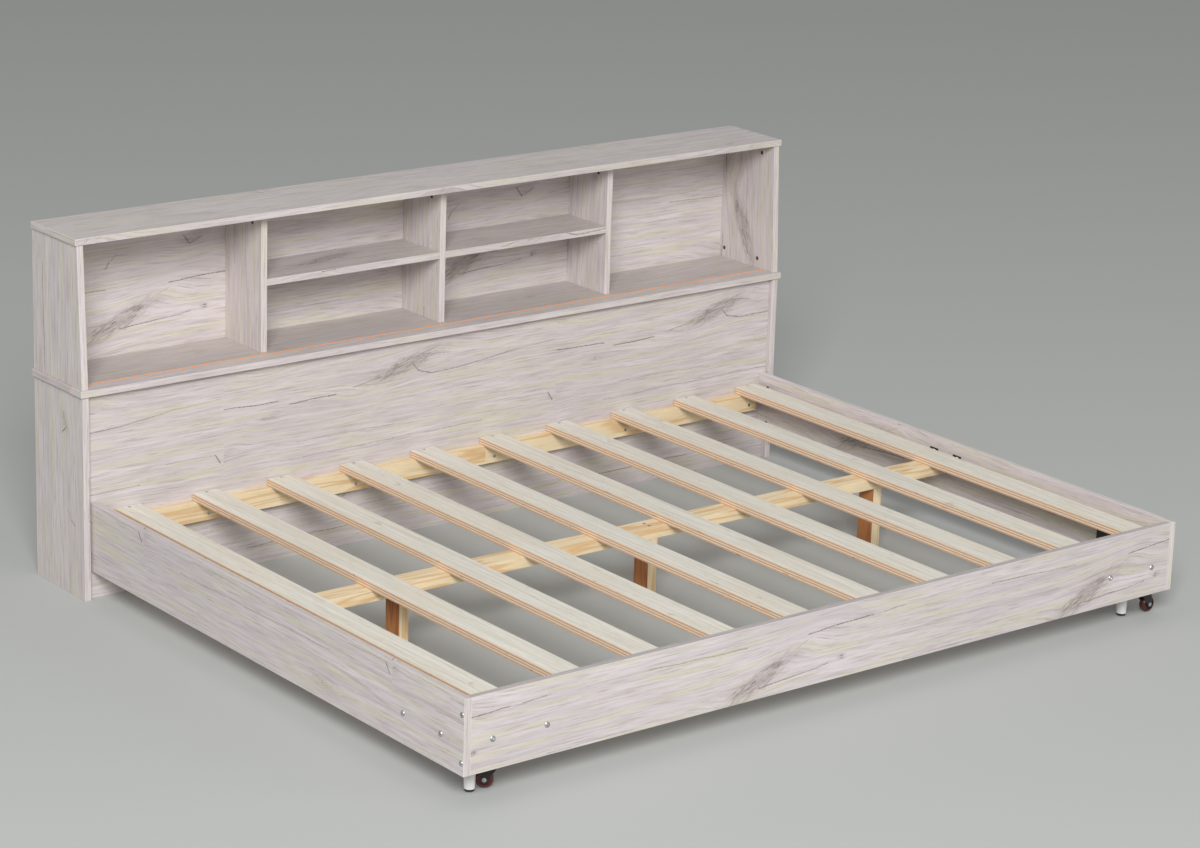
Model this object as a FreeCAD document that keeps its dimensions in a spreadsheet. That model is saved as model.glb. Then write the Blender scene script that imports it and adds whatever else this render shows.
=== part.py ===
"""Bookcase headboard bed.

A low platform bed with slats, whose long side is joined to a headboard: a closed lower
unit that stands on the floor and an open bookcase on top of it.  Lengths are in mm.
The lengths in the formulas below run from the headboard's left front lower corner: x to
the right, y to the back, z up.  `put` moves them to the part's own frame, whose origin
is on the floor, in the middle of the whole bed.
"""
import FreeCAD, Part
import Sketcher
import os
import re

DIMENSIONS = {
    # Headboard, lower unit
    "overall_width": 2000,
    "headboard_depth": 215,
    "lower_height": 472,
    "panel_thickness": 16,
    "back_thickness": 5,
    "front_panel_setback": 12,
    # Board between the lower unit and the bookcase
    "mid_board_thickness": 15,
    "mid_board_end_overhang": 6,
    "mid_board_front_overhang": 5,
    "groove_setback": 38,
    "groove_width": 5,
    "groove_depth": 4,
    # Bookcase
    "upper_height": 323,
    "end_lean_foot": 2,
    "end_lean_head": 18,
    "top_thickness": 15,
    "top_end_overhang": 5,
    "top_front_setback": 15,
    "top_back_setback": 4,
    "divider_setback": 57,
    "shelf_rise": 155,
    "shelf_thickness": 16,
    "shelf_gap": 0.5,
    # Platform
    "platform_reach": 1404,
    "rail_thickness": 16,
    "rail_height": 160,
    "rail_bottom": 66,
    "rail_side_gap": 5,
    # Slats and what they lie on
    "slat_width": 65,
    "slat_thickness": 18,
    "slat_first_gap": 47,
    "slat_last_gap": 14,
    "slat_end_gap": 1.5,
    "ledger_top": 183,
    "ledger_thickness": 20,
    "ledger_height": 46,
    "foot_ledger_height": 30,
    "ledger_end_gap": 24,
    "ledger_side_gap": 1,
    "ledger_joint_offset": 6,
    "ledger_screw_drop": 30,
    "beam_width": 52,
    "beam_height": 26,
    "beam_end_gap": 2.5,
    "beam_offset": 10,
    "leg_width": 25,
    "leg_depth": 50,
    "leg_left_gap": 320,
    "leg_right_gap": 227,
    # Corner brackets and beam hangers
    "bracket_thickness": 2.5,
    "bracket_side_reach": 203,
    "bracket_foot_reach": 199,
    "bracket_height": 83,
    "bracket_lift": 1,
    "bracket_shelf_left": 116,
    "bracket_shelf_right": 86,
    "bracket_shelf_depth": 86,
    "nut_boss_diameter": 16,
    "nut_boss_height": 7,
    "hanger_thickness": 2,
    "hanger_wing": 27,
    "hanger_seat": 20,
    "hanger_rise": 17,
    "hanger_screw_rise": 11,
    # Levelling feet
    "foot_inset_left": 49,
    "foot_inset_right": 65,
    "foot_inset_front": 52,
    "foot_stem_diameter": 8,
    "foot_stem_length": 95,
    "foot_stem_chamfer": 1,
    "foot_stem_seat": 4,
    "foot_cup_top": 25,
    "foot_cup_bottom": 22,
    "foot_cup_height": 48,
    "foot_cup_shoulder": 3,
    "foot_pad_diameter": 20,
    "foot_pad_height": 8,
    "foot_pad_socket": 2,
    "foot_pad_chamfer": 1.5,
    # Casters
    "caster_inset_left": 96,
    "caster_inset_right": 18,
    "caster_inset_front": 37,
    "caster_plate_size": 34,
    "caster_plate_thickness": 2.5,
    "caster_race_diameter": 28,
    "caster_race_height": 3,
    "caster_pin_diameter": 8,
    "caster_pin_head_diameter": 12,
    "caster_pin_head_height": 2,
    "caster_running_gap": 0.1,
    "caster_rivet_overlap": 0.5,
    "caster_fork_thickness": 2,
    "caster_fork_inside": 17,
    "caster_fork_skirt": 6,
    "caster_fork_nose": 7,
    "caster_fork_front": 5,
    "caster_trail": 18,
    "caster_ground_gap": 2,
    "caster_heading_left": 142,
    "caster_heading_right": 0,
    "wheel_diameter": 36,
    "wheel_width": 16,
    "wheel_hub_diameter": 14,
    "wheel_rim_thickness": 6,
    "wheel_web_width": 8,
    "wheel_edge": 3,
    "axle_diameter": 5,
    "axle_gap": 0.05,
    "axle_head_diameter": 9,
    "axle_head_height": 1,
    # Fasteners and the holes they sit in
    "hole_gap": 0.1,
    "bolt_diameter": 6,
    "bolt_head_diameter": 12.5,
    "bolt_head_height": 2.5,
    "bolt_length": 24,
    "bolt_rise": 65,
    "bolt_side_near": 60,
    "bolt_side_spacing": 127,
    "bolt_foot_near": 52,
    "bolt_foot_spacing": 131,
    "tip_chamfer": 0.5,
    "hex_socket": 4,
    "hex_socket_depth": 1.6,
    "cross_length": 4,
    "cross_width": 1,
    "cross_depth": 1.2,
    "confirmat_diameter": 5,
    "confirmat_head_diameter": 12,
    "confirmat_head_height": 1.5,
    "confirmat_length": 48,
    "confirmat_low": 27,
    "confirmat_high": 126,
    "wood_screw_diameter": 4,
    "wood_screw_head_diameter": 8,
    "wood_screw_head_height": 2.4,
    "wood_screw_length": 30,
    "hanger_screw_length": 12,
    "leg_screw_length": 60,
    "leg_screw_spread": 8.5,
    "cam_diameter": 10,
    "cam_depth": 9,
    "cam_slot_width": 1.4,
    "cam_slot_depth": 1.5,
    "cam_slot_margin": 1,
    "cam_edge_distance": 25,
    "cam_dowel_diameter": 6,
    "cam_dowel_bite": 8,
    "end_cam_front": 64,
    "end_cam_back": 194,
    "divider_cam_front": 95,
    "divider_cam_back": 185,
    "rail_cam_setback": 35,
    "rail_cam_low": 36,
    "rail_cam_high": 128,
    "pin_diameter": 5,
    "pin_bite": 6,
    "pin_head_diameter": 7,
    "pin_reach": 9,
    "pin_chamfer": 1,
    "pin_row_pitch": 32,
    "pin_shelf_gap": 0.3,
    "pin_front": 95,
    "pin_back": 191,
    # Finish
    "edge_round": 0.8,
    "slat_edge_round": 0.6,
    "metal_edge_round": 0.4,
}

SLAT_COUNT = 10
LEG_COUNT = 3
DIVIDERS = ("left", "centre", "right")

# Levels and lines that several pieces share, as formulas of the sheet's values, measured
# from the headboard's left front lower corner.
MID_TOP = "(lower_height + mid_board_thickness)"
UPPER_TOP = f"({MID_TOP} + upper_height)"
INNER_WIDTH = "(overall_width - 2 * panel_thickness)"
BACK_FACE = "(headboard_depth - back_thickness)"
DIVIDER_DEPTH = f"({BACK_FACE} - divider_setback)"
BAY_WIDTH = "((overall_width - 5 * panel_thickness) / 4)"
SHELF_BOTTOM = f"({MID_TOP} + shelf_rise)"
FRONT_FACE = "front_panel_setback"
RAIL_OUTER = "(panel_thickness + rail_side_gap)"
RAIL_INNER = f"({RAIL_OUTER} + rail_thickness)"
RAIL_SPAN = f"(overall_width - 2 * {RAIL_INNER})"
FOOT_INNER = "(rail_thickness - platform_reach)"
RAIL_LENGTH = f"({FRONT_FACE} + platform_reach)"
SLAT_TOP = "(ledger_top + slat_thickness)"
BEAM_Y = f"(({FRONT_FACE} + {FOOT_INNER}) / 2 + beam_offset)"
BEAM_BOTTOM = "(ledger_top - beam_height)"
BRACKET_BOTTOM = "(rail_bottom + bracket_lift)"
PLATE_BOTTOM = f"({BRACKET_BOTTOM} - caster_plate_thickness)"
RACE_BOTTOM = f"({PLATE_BOTTOM} - caster_race_height)"
FORK_TOP = f"({RACE_BOTTOM} - caster_running_gap)"
FORK_CEILING = f"({FORK_TOP} - caster_fork_thickness)"
AXLE_Z = "(caster_ground_gap + wheel_diameter / 2)"
FORK_HALF = "(caster_fork_inside / 2 + caster_fork_thickness)"
FOOT_X = {
    "left": f"({RAIL_INNER} + foot_inset_left)",
    "right": f"(overall_width - {RAIL_INNER} - foot_inset_right)",
}
FOOT_Y = f"({FOOT_INNER} + foot_inset_front)"
CASTER_X = {
    "left": f"({RAIL_INNER} + caster_inset_left)",
    "right": f"(overall_width - {RAIL_INNER} - caster_inset_right)",
}
CASTER_Y = f"({FOOT_INNER} + caster_inset_front)"
PIN_LEVEL = f"({SHELF_BOTTOM} - pin_shelf_gap - pin_head_diameter / 2)"
FRAME_Y = "((platform_reach + bolt_head_height - headboard_depth) / 2)"

WORD = re.compile(r"[a-z][a-z_]*")

# Turns that point a fastener's tip, which hangs down from its head, another way.
X_AXIS = FreeCAD.Vector(1, 0, 0)
Y_AXIS = FreeCAD.Vector(0, 1, 0)
Z_AXIS = FreeCAD.Vector(0, 0, 1)
TURNS = {
    "down": FreeCAD.Rotation(),
    "up": FreeCAD.Rotation(X_AXIS, 180),
    "back": FreeCAD.Rotation(X_AXIS, 90),
    "front": FreeCAD.Rotation(X_AXIS, -90),
    "left": FreeCAD.Rotation(Y_AXIS, 90),
    "right": FreeCAD.Rotation(Y_AXIS, -90),
    "about": FreeCAD.Rotation(Z_AXIS, 180),
}

doc = FreeCAD.newDocument("BookcaseBed")
sheet = doc.addObject("Spreadsheet::Sheet", "dims")
for row, (alias, size) in enumerate(DIMENSIONS.items(), 1):
    sheet.set(f"A{row}", alias)
    sheet.set(f"B{row}", str(size))
    sheet.setAlias(f"B{row}", alias)
doc.recompute()

sub_parts = []


def formula(text):
    """Point each size named in `text` at its cell in the sheet."""
    def point(found):
        word = found.group()
        return "dims." + word if word in DIMENSIONS else word
    return WORD.sub(point, text)


def put(piece, x, y, z):
    """Place a piece by a point measured from the headboard's left front lower corner."""
    piece.setExpression("Placement.Base.x", formula(f"{x} - overall_width / 2"))
    piece.setExpression("Placement.Base.y", formula(f"{y} + {FRAME_Y}"))
    piece.setExpression("Placement.Base.z", formula(f"{z}"))


def keep(piece, label):
    """Name a finished sub-part."""
    piece.Label = label
    sub_parts.append(piece)
    return piece


# ---------------------------------------------------------------- sketches and features

def new_sketch(body, plane, level="0"):
    """An empty sketch on one of the body's own planes, `level` along that plane's normal."""
    sketch = body.newObject("Sketcher::SketchObject", "outline")
    own_plane = next(item for item in body.Origin.OriginFeatures if item.Role == plane + "_Plane")
    sketch.AttachmentSupport = [(own_plane, "")]
    sketch.MapMode = "FlatFace"
    sketch.setExpression("AttachmentOffset.Base.z", formula(level))
    return sketch


def bind(sketch, constraint, text):
    """Add a constraint whose value is a formula of the sheet."""
    index = sketch.addConstraint(constraint)
    sketch.setExpression(f"Constraints[{index}]", formula(text))


def fix_point(sketch, shape, point, across, upward):
    """Hold one point of a sketch at two formulas; one that starts with - lies behind the origin."""
    for kind, text, axis in (("DistanceX", across, -2), ("DistanceY", upward, -1)):
        if text == "0":
            sketch.addConstraint(Sketcher.Constraint("PointOnObject", shape, point, axis))
        elif text.startswith("-"):
            bind(sketch, Sketcher.Constraint(kind, shape, point, -1, 1, 1.0), text[1:])
        else:
            bind(sketch, Sketcher.Constraint(kind, -1, 1, shape, point, 1.0), text)


def draw_outline(sketch, corners):
    """A closed outline of straight lines through `corners`."""
    count = len(corners)
    guess = [FreeCAD.Vector(10 * index, index * index, 0) for index in range(count)]
    lines = []
    for index in range(count):
        line = Part.LineSegment(guess[index], guess[(index + 1) % count])
        lines.append(sketch.addGeometry(line))
    for index, line in enumerate(lines):
        following = lines[(index + 1) % count]
        sketch.addConstraint(Sketcher.Constraint("Coincident", line, 2, following, 1))
        fix_point(sketch, line, 1, *corners[index])


def draw_circle(sketch, centre, diameter):
    """A circle about a point given by two formulas."""
    start = FreeCAD.Vector(5, 5, 0)
    circle = sketch.addGeometry(Part.Circle(start, FreeCAD.Vector(0, 0, 1), 2))
    fix_point(sketch, circle, 3, *centre)
    bind(sketch, Sketcher.Constraint("Diameter", circle, 5.0), diameter)


def rectangle(width, depth):
    return [("0", "0"), (width, "0"), (width, depth), ("0", depth)]


def pad(body, sketch, length, backward=False, middle=False):
    """Give an outline its thickness."""
    feature = body.newObject("PartDesign::Pad", "pad")
    feature.Profile = sketch
    feature.Reversed = backward
    feature.Midplane = middle
    feature.setExpression("Length", formula(length))
    sketch.Visibility = False
    return feature


def cut(body, sketch, depth, backward=False, middle=False):
    """Sink an outline into the body."""
    feature = body.newObject("PartDesign::Pocket", "pocket")
    feature.Profile = sketch
    feature.Reversed = backward
    feature.Midplane = middle
    feature.setExpression("Length", formula(depth))
    return feature


def bore(body, plane, level, spots, diameter, depth, backward=False):
    """Drill round holes of one size; `backward` drills along the plane's own normal."""
    sketch = new_sketch(body, plane, level)
    for spot in spots:
        draw_circle(sketch, spot, diameter)
    cut(body, sketch, depth, backward)


def ease_edges(body, size):
    """Round every edge of the body as it is so far."""
    base = body.Tip
    feature = body.newObject("PartDesign::Fillet", "eased_edges")
    feature.Base = (base, ["Edge1"])
    feature.UseAllEdges = True
    feature.setExpression("Radius", formula(size))


def board(label, plane, outline, thickness, edges="edge_round"):
    """A flat board with eased edges: its outline lies in `plane` and its thickness is square to it."""
    body = doc.addObject("PartDesign::Body", label)
    sketch = new_sketch(body, plane)
    draw_outline(sketch, outline)
    pad(body, sketch, thickness, backward=(plane == "XZ"))
    ease_edges(body, edges)
    return body


def turned(label, profile, plane="XZ", axis="V_Axis"):
    """A round piece: `profile` is (radius, height) round the upright axis of its plane."""
    body = doc.addObject("PartDesign::Body", label)
    sketch = new_sketch(body, plane)
    draw_outline(sketch, profile)
    feature = body.newObject("PartDesign::Revolution", "turned")
    feature.Profile = sketch
    feature.ReferenceAxis = (sketch, [axis])
    feature.Angle = 360
    return body


def mirrored(label, source):
    """The right-hand twin of a left-hand piece."""
    twin = doc.addObject("Part::Mirroring", label)
    twin.Source = source
    twin.Normal = X_AXIS
    return keep(twin, label)


def group(label, *batches):
    """Loose pieces of one kind in one sub-part.

    Each batch is a master and its places: (direction of the tip, x, y, z).
    """
    copies = []
    for master, places in batches:
        for direction, x, y, z in places:
            copy = doc.addObject("App::Link", f"{label}_{len(copies) + 1}")
            copy.LinkedObject = master
            copy.Placement = FreeCAD.Placement(FreeCAD.Vector(), TURNS[direction])
            put(copy, x, y, z)
            copies.append(copy)
    compound = doc.addObject("Part::Compound", label)
    compound.Links = copies
    return keep(compound, label)


# ---------------------------------------------------------------- shared hole positions

def from_right(x):
    """The mirror image of an x position."""
    return f"(overall_width - {x})"


def divider_left(index):
    """Left face of divider 1, 2 or 3."""
    return f"(panel_thickness + {index} * {BAY_WIDTH} + {index - 1} * panel_thickness)"


SIDE_BOLTS = ["bolt_side_near", "(bolt_side_near + bolt_side_spacing)"]
FOOT_BOLTS = ["bolt_foot_near", "(bolt_foot_near + bolt_foot_spacing)"]
CONFIRMAT_RISES = ["confirmat_low", "confirmat_high"]
RAIL_CAM_RISES = ["rail_cam_low", "rail_cam_high"]
END_CAM_SPOTS = ["end_cam_front", "end_cam_back"]
DIVIDER_CAM_SPOTS = ["divider_cam_front", "divider_cam_back"]
PIN_COLUMNS = ["pin_front", "pin_back"]
PIN_ROWS = [f"({PIN_LEVEL} - {MID_TOP} + {step} * pin_row_pitch)" for step in (-1, 0, 1)]
LEG_PITCH = f"(({RAIL_SPAN} - leg_left_gap - leg_right_gap - leg_width) / {LEG_COUNT - 1})"
LEG_SPOTS = [f"({RAIL_INNER} + leg_left_gap + {index} * {LEG_PITCH})" for index in range(LEG_COUNT)]
SLAT_PITCH = f"(({RAIL_SPAN} - slat_first_gap - slat_last_gap - slat_width) / {SLAT_COUNT - 1})"
SLAT_LEFTS = [f"({RAIL_INNER} + slat_first_gap + {index} * {SLAT_PITCH})" for index in range(SLAT_COUNT)]
SLAT_MIDDLES = [f"({left} + slat_width / 2)" for left in SLAT_LEFTS]
JOINT_SLAT = SLAT_COUNT // 2
LEDGER_JOINT = f"({SLAT_LEFTS[JOINT_SLAT]} + ledger_joint_offset)"
LEDGER_SCREWS = {"left": SLAT_MIDDLES[1:JOINT_SLAT:2], "right": SLAT_MIDDLES[JOINT_SLAT::2]}
BOLT_HOLE = "bolt_diameter + 2 * hole_gap"
CONFIRMAT_HOLE = "confirmat_diameter + 2 * hole_gap"
CAM_HOLE = "cam_diameter + 2 * hole_gap"
DOWEL_HOLE = "cam_dowel_diameter + 2 * hole_gap"
SCREW_HOLE = "wood_screw_diameter + 2 * hole_gap"
SCREW_HEAD_HOLE = "wood_screw_head_diameter + 2 * hole_gap"
LEDGER_SCREW_LEVEL = "(ledger_top - ledger_screw_drop)"
FOOT_LEDGER_SCREW_LEVEL = "(ledger_top - foot_ledger_height / 2)"
HANGER_SCREW_LEVEL = "(ledger_top + hanger_screw_rise)"
HANGER_SCREW_REACH = "(beam_width / 2 + hanger_wing / 2)"


# ---------------------------------------------------------------- headboard, lower unit

def make_lower_unit():
    outline = rectangle("headboard_depth", "lower_height")
    left = keep(board("lower_end_left", "YZ", outline, "panel_thickness"), "lower_end_left")
    put(left, "0", "0", "0")
    mirrored("lower_end_right", left)

    front = board("front_panel", "XZ", rectangle(INNER_WIDTH, "lower_height"), "panel_thickness")
    cam_lines = [f"({RAIL_OUTER} + rail_thickness / 2 - panel_thickness)"]
    cam_lines.append(f"({INNER_WIDTH} - {cam_lines[0]})")
    dowel_spots = [(x, f"(rail_bottom + {rise})") for x in cam_lines for rise in RAIL_CAM_RISES]
    bore(front, "XZ", "0", dowel_spots, DOWEL_HOLE, "cam_dowel_bite + hole_gap")
    columns = LEDGER_SCREWS["left"] + LEDGER_SCREWS["right"]
    pilots = [(f"({x} - panel_thickness)", LEDGER_SCREW_LEVEL) for x in columns]
    bore(front, "XZ", "0", pilots, SCREW_HOLE, "wood_screw_length - ledger_thickness + hole_gap")
    put(keep(front, "front_panel"), "panel_thickness", FRONT_FACE, "0")

    back = board("lower_back_panel", "XZ", rectangle(INNER_WIDTH, "lower_height"), "back_thickness")
    put(keep(back, "lower_back_panel"), "panel_thickness", BACK_FACE, "0")

    depth = f"({BACK_FACE} - front_panel_setback - panel_thickness)"
    stud = board("partition", "YZ", rectangle(depth, "lower_height"), "panel_thickness")
    spots = [divider_left(index) for index in (1, 2, 3)]
    places = [("down", x, f"({FRONT_FACE} + panel_thickness)", "0") for x in spots]
    group("lower_partitions", (stud, places))


def make_mid_board():
    width = "(overall_width + 2 * mid_board_end_overhang)"
    depth = "(headboard_depth + mid_board_front_overhang)"
    body = board("mid_board", "XY", rectangle(width, depth), "mid_board_thickness")
    groove = new_sketch(body, "XY", "mid_board_thickness")
    left = "(mid_board_end_overhang + panel_thickness)"
    right = f"({left} + {INNER_WIDTH})"
    near = "(mid_board_front_overhang + groove_setback)"
    far = f"({near} + groove_width)"
    draw_outline(groove, [(left, near), (right, near), (right, far), (left, far)])
    cut(body, groove, "groove_depth")
    dowel_spots = []
    for x in ("(panel_thickness / 2)", from_right("panel_thickness / 2")):
        for y in END_CAM_SPOTS:
            dowel_spots.append((f"(mid_board_end_overhang + {x})", f"(mid_board_front_overhang + {y})"))
    for index in (1, 2, 3):
        x = f"(mid_board_end_overhang + {divider_left(index)} + panel_thickness / 2)"
        for y in DIVIDER_CAM_SPOTS:
            dowel_spots.append((x, f"(mid_board_front_overhang + {y})"))
    bore(body, "XY", "mid_board_thickness", dowel_spots, DOWEL_HOLE, "cam_dowel_bite + hole_gap")
    put(keep(body, "mid_board"), "-mid_board_end_overhang", "-mid_board_front_overhang", "lower_height")


# ---------------------------------------------------------------- bookcase

def make_upper_ends():
    outline = [
        ("end_lean_foot", "0"),
        ("headboard_depth", "0"),
        ("headboard_depth", "upper_height"),
        ("end_lean_head", "upper_height"),
    ]
    left = board("upper_end_left", "YZ", outline, "panel_thickness")
    levels = ["cam_edge_distance", "(upper_height - cam_edge_distance)"]
    cam_spots = [(y, z) for y in END_CAM_SPOTS for z in levels]
    bore(left, "YZ", "panel_thickness", cam_spots, CAM_HOLE, "cam_depth + hole_gap")
    for level, backward in (("0", True), ("upper_height", False)):
        spots = [("panel_thickness / 2", y) for y in END_CAM_SPOTS]
        bore(left, "XY", level, spots, DOWEL_HOLE, "cam_edge_distance - cam_diameter / 2", backward)
    put(keep(left, "upper_end_left"), "0", "0", MID_TOP)
    mirrored("upper_end_right", left)


def make_top_panel():
    width = "(overall_width + 2 * top_end_overhang)"
    depth = "(headboard_depth - top_front_setback - top_back_setback)"
    body = board("top_panel", "XY", rectangle(width, depth), "top_thickness")
    spots = []
    for x in ("(panel_thickness / 2)", from_right("panel_thickness / 2")):
        for y in END_CAM_SPOTS:
            spots.append((f"(top_end_overhang + {x})", f"({y} - top_front_setback)"))
    for index in (1, 2, 3):
        x = f"(top_end_overhang + {divider_left(index)} + panel_thickness / 2)"
        for y in DIVIDER_CAM_SPOTS:
            spots.append((x, f"({y} - top_front_setback)"))
    bore(body, "XY", "0", spots, DOWEL_HOLE, "cam_dowel_bite + hole_gap", backward=True)
    put(keep(body, "top_panel"), "-top_end_overhang", "top_front_setback", UPPER_TOP)


def make_dividers():
    for index, side in enumerate(DIVIDERS, 1):
        label = f"divider_{side}"
        body = board(label, "YZ", rectangle(DIVIDER_DEPTH, "upper_height"), "panel_thickness")
        columns = [f"({y} - divider_setback)" for y in DIVIDER_CAM_SPOTS]
        cam_spots = [(y, "(upper_height - cam_edge_distance)") for y in columns]
        bore(body, "YZ", "0", cam_spots, CAM_HOLE, "cam_depth + hole_gap", backward=True)
        spots = [("panel_thickness / 2", y) for y in columns]
        bore(body, "XY", "upper_height", spots, DOWEL_HOLE, "cam_edge_distance - cam_diameter / 2")
        bore(body, "XY", "0", spots, DOWEL_HOLE, "cam_edge_distance - cam_diameter / 2", backward=True)
        pin_spots = [(f"({y} - divider_setback)", z) for y in PIN_COLUMNS for z in PIN_ROWS]
        if side != "right":
            bore(body, "YZ", "panel_thickness", pin_spots, "pin_diameter + 2 * hole_gap", "pin_bite")
        if side != "left":
            bore(body, "YZ", "0", pin_spots, "pin_diameter + 2 * hole_gap", "pin_bite", backward=True)
        put(keep(body, label), divider_left(index), "divider_setback", MID_TOP)


def make_shelves():
    width = f"({BAY_WIDTH} - 2 * shelf_gap)"
    depth = f"({DIVIDER_DEPTH} - shelf_gap)"
    for index, side in enumerate(("left", "right"), 1):
        label = f"shelf_{side}"
        body = keep(board(label, "XY", rectangle(width, depth), "shelf_thickness"), label)
        put(body, f"({divider_left(index)} + panel_thickness + shelf_gap)", "divider_setback", SHELF_BOTTOM)


def make_upper_back():
    body = board("upper_back_panel", "XZ", rectangle(INNER_WIDTH, "upper_height"), "back_thickness")
    put(keep(body, "upper_back_panel"), "panel_thickness", BACK_FACE, MID_TOP)


# ---------------------------------------------------------------- platform frame

def make_rails():
    left = board("side_rail_left", "YZ", rectangle(RAIL_LENGTH, "rail_height"), "rail_thickness")
    bolt_spots = [(f"(rail_thickness + {reach})", "bolt_rise") for reach in SIDE_BOLTS]
    bore(left, "YZ", "rail_thickness", bolt_spots, BOLT_HOLE, "rail_thickness")
    end_spots = [("(rail_thickness / 2)", rise) for rise in CONFIRMAT_RISES]
    bore(left, "YZ", "rail_thickness", end_spots, CONFIRMAT_HOLE, "rail_thickness")
    cam_spots = [(f"({RAIL_LENGTH} - rail_cam_setback)", rise) for rise in RAIL_CAM_RISES]
    bore(left, "YZ", "rail_thickness", cam_spots, CAM_HOLE, "cam_depth + hole_gap")
    dowel_spots = [("(rail_thickness / 2)", rise) for rise in RAIL_CAM_RISES]
    bore(left, "XZ", f"-{RAIL_LENGTH}", dowel_spots, DOWEL_HOLE, "rail_cam_setback - cam_diameter / 2",
         backward=True)
    hanger_line = f"({BEAM_Y} + platform_reach)"
    pilots = []
    for y in (f"({hanger_line} - {HANGER_SCREW_REACH})", f"({hanger_line} + {HANGER_SCREW_REACH})"):
        pilots.append((y, f"({HANGER_SCREW_LEVEL} - rail_bottom)"))
    depth = "hanger_screw_length - hanger_thickness + hole_gap"
    bore(left, "YZ", "rail_thickness", pilots, SCREW_HOLE, depth)
    put(keep(left, "side_rail_left"), RAIL_OUTER, "-platform_reach", "rail_bottom")
    mirrored("side_rail_right", left)

    foot = board("foot_rail", "XZ", rectangle(RAIL_SPAN, "rail_height"), "rail_thickness")
    spots = [(x, "bolt_rise") for x in FOOT_BOLTS]
    spots += [(f"({RAIL_SPAN} - {x})", "bolt_rise") for x in FOOT_BOLTS]
    bore(foot, "XZ", "0", spots, BOLT_HOLE, "rail_thickness")
    level = f"({FOOT_LEDGER_SCREW_LEVEL} - rail_bottom)"
    pilots = [(f"({x} - {RAIL_INNER})", level) for x in SLAT_MIDDLES[::2]]
    depth = "wood_screw_length - ledger_thickness + hole_gap"
    bore(foot, "XZ", "-rail_thickness", pilots, SCREW_HOLE, depth, backward=True)
    end_holes = [("(rail_thickness / 2)", rise) for rise in CONFIRMAT_RISES]
    depth = "confirmat_length - rail_thickness"
    bore(foot, "YZ", "0", end_holes, CONFIRMAT_HOLE, depth, backward=True)
    bore(foot, "YZ", RAIL_SPAN, end_holes, CONFIRMAT_HOLE, depth)
    put(keep(foot, "foot_rail"), RAIL_INNER, "-platform_reach", "rail_bottom")


def make_ledgers():
    bottom = "(ledger_top - ledger_height)"
    start = f"({RAIL_INNER} + ledger_end_gap)"
    runs = {"left": (start, LEDGER_JOINT), "right": (LEDGER_JOINT, from_right(start))}
    slats = {"left": SLAT_MIDDLES[:JOINT_SLAT], "right": SLAT_MIDDLES[JOINT_SLAT:]}
    bite = "(wood_screw_length - slat_thickness)"
    for side, (begin, end) in runs.items():
        label = f"head_ledger_{side}"
        outline = rectangle(f"({end} - {begin})", "ledger_thickness")
        body = board(label, "XY", outline, "ledger_height", "slat_edge_round")
        spots = [(f"({x} - {begin})", "(ledger_thickness / 2)") for x in slats[side]]
        bore(body, "XY", "ledger_height", spots, SCREW_HOLE, bite)
        level = f"({LEDGER_SCREW_LEVEL} - {bottom})"
        screws = [(f"({x} - {begin})", level) for x in LEDGER_SCREWS[side]]
        bore(body, "XZ", "0", screws, SCREW_HOLE, "ledger_thickness")
        bore(body, "XZ", "0", screws, SCREW_HEAD_HOLE, "wood_screw_head_height")
        put(keep(body, label), begin, f"({FRONT_FACE} - ledger_thickness)", bottom)

    outline = rectangle(f"({RAIL_SPAN} - 2 * ledger_side_gap)", "ledger_thickness")
    foot = board("foot_ledger", "XY", outline, "foot_ledger_height", "slat_edge_round")
    origin = f"({RAIL_INNER} + ledger_side_gap)"
    spots = [(f"({x} - {origin})", "(ledger_thickness / 2)") for x in SLAT_MIDDLES]
    bore(foot, "XY", "foot_ledger_height", spots, SCREW_HOLE, bite)
    screws = [(f"({x} - {origin})", "(foot_ledger_height / 2)") for x in SLAT_MIDDLES[::2]]
    bore(foot, "XZ", "-ledger_thickness", screws, SCREW_HOLE, "ledger_thickness", backward=True)
    bore(foot, "XZ", "-ledger_thickness", screws, SCREW_HEAD_HOLE, "wood_screw_head_height", backward=True)
    put(keep(foot, "foot_ledger"), origin, FOOT_INNER, "(ledger_top - foot_ledger_height)")


def make_slats():
    length = f"({FRONT_FACE} - {FOOT_INNER} - 2 * slat_end_gap)"
    near = "(ledger_thickness / 2 - slat_end_gap)"
    for index, left in enumerate(SLAT_LEFTS, 1):
        label = f"slat_{index:02d}"
        body = board(label, "XY", rectangle("slat_width", length), "slat_thickness", "slat_edge_round")
        spots = [("(slat_width / 2)", near), ("(slat_width / 2)", f"({length} - {near})")]
        bore(body, "XY", "slat_thickness", spots, SCREW_HOLE, "slat_thickness")
        bore(body, "XY", "slat_thickness", spots, SCREW_HEAD_HOLE, "wood_screw_head_height")
        put(keep(body, label), left, f"({FOOT_INNER} + slat_end_gap)", "ledger_top")


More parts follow.
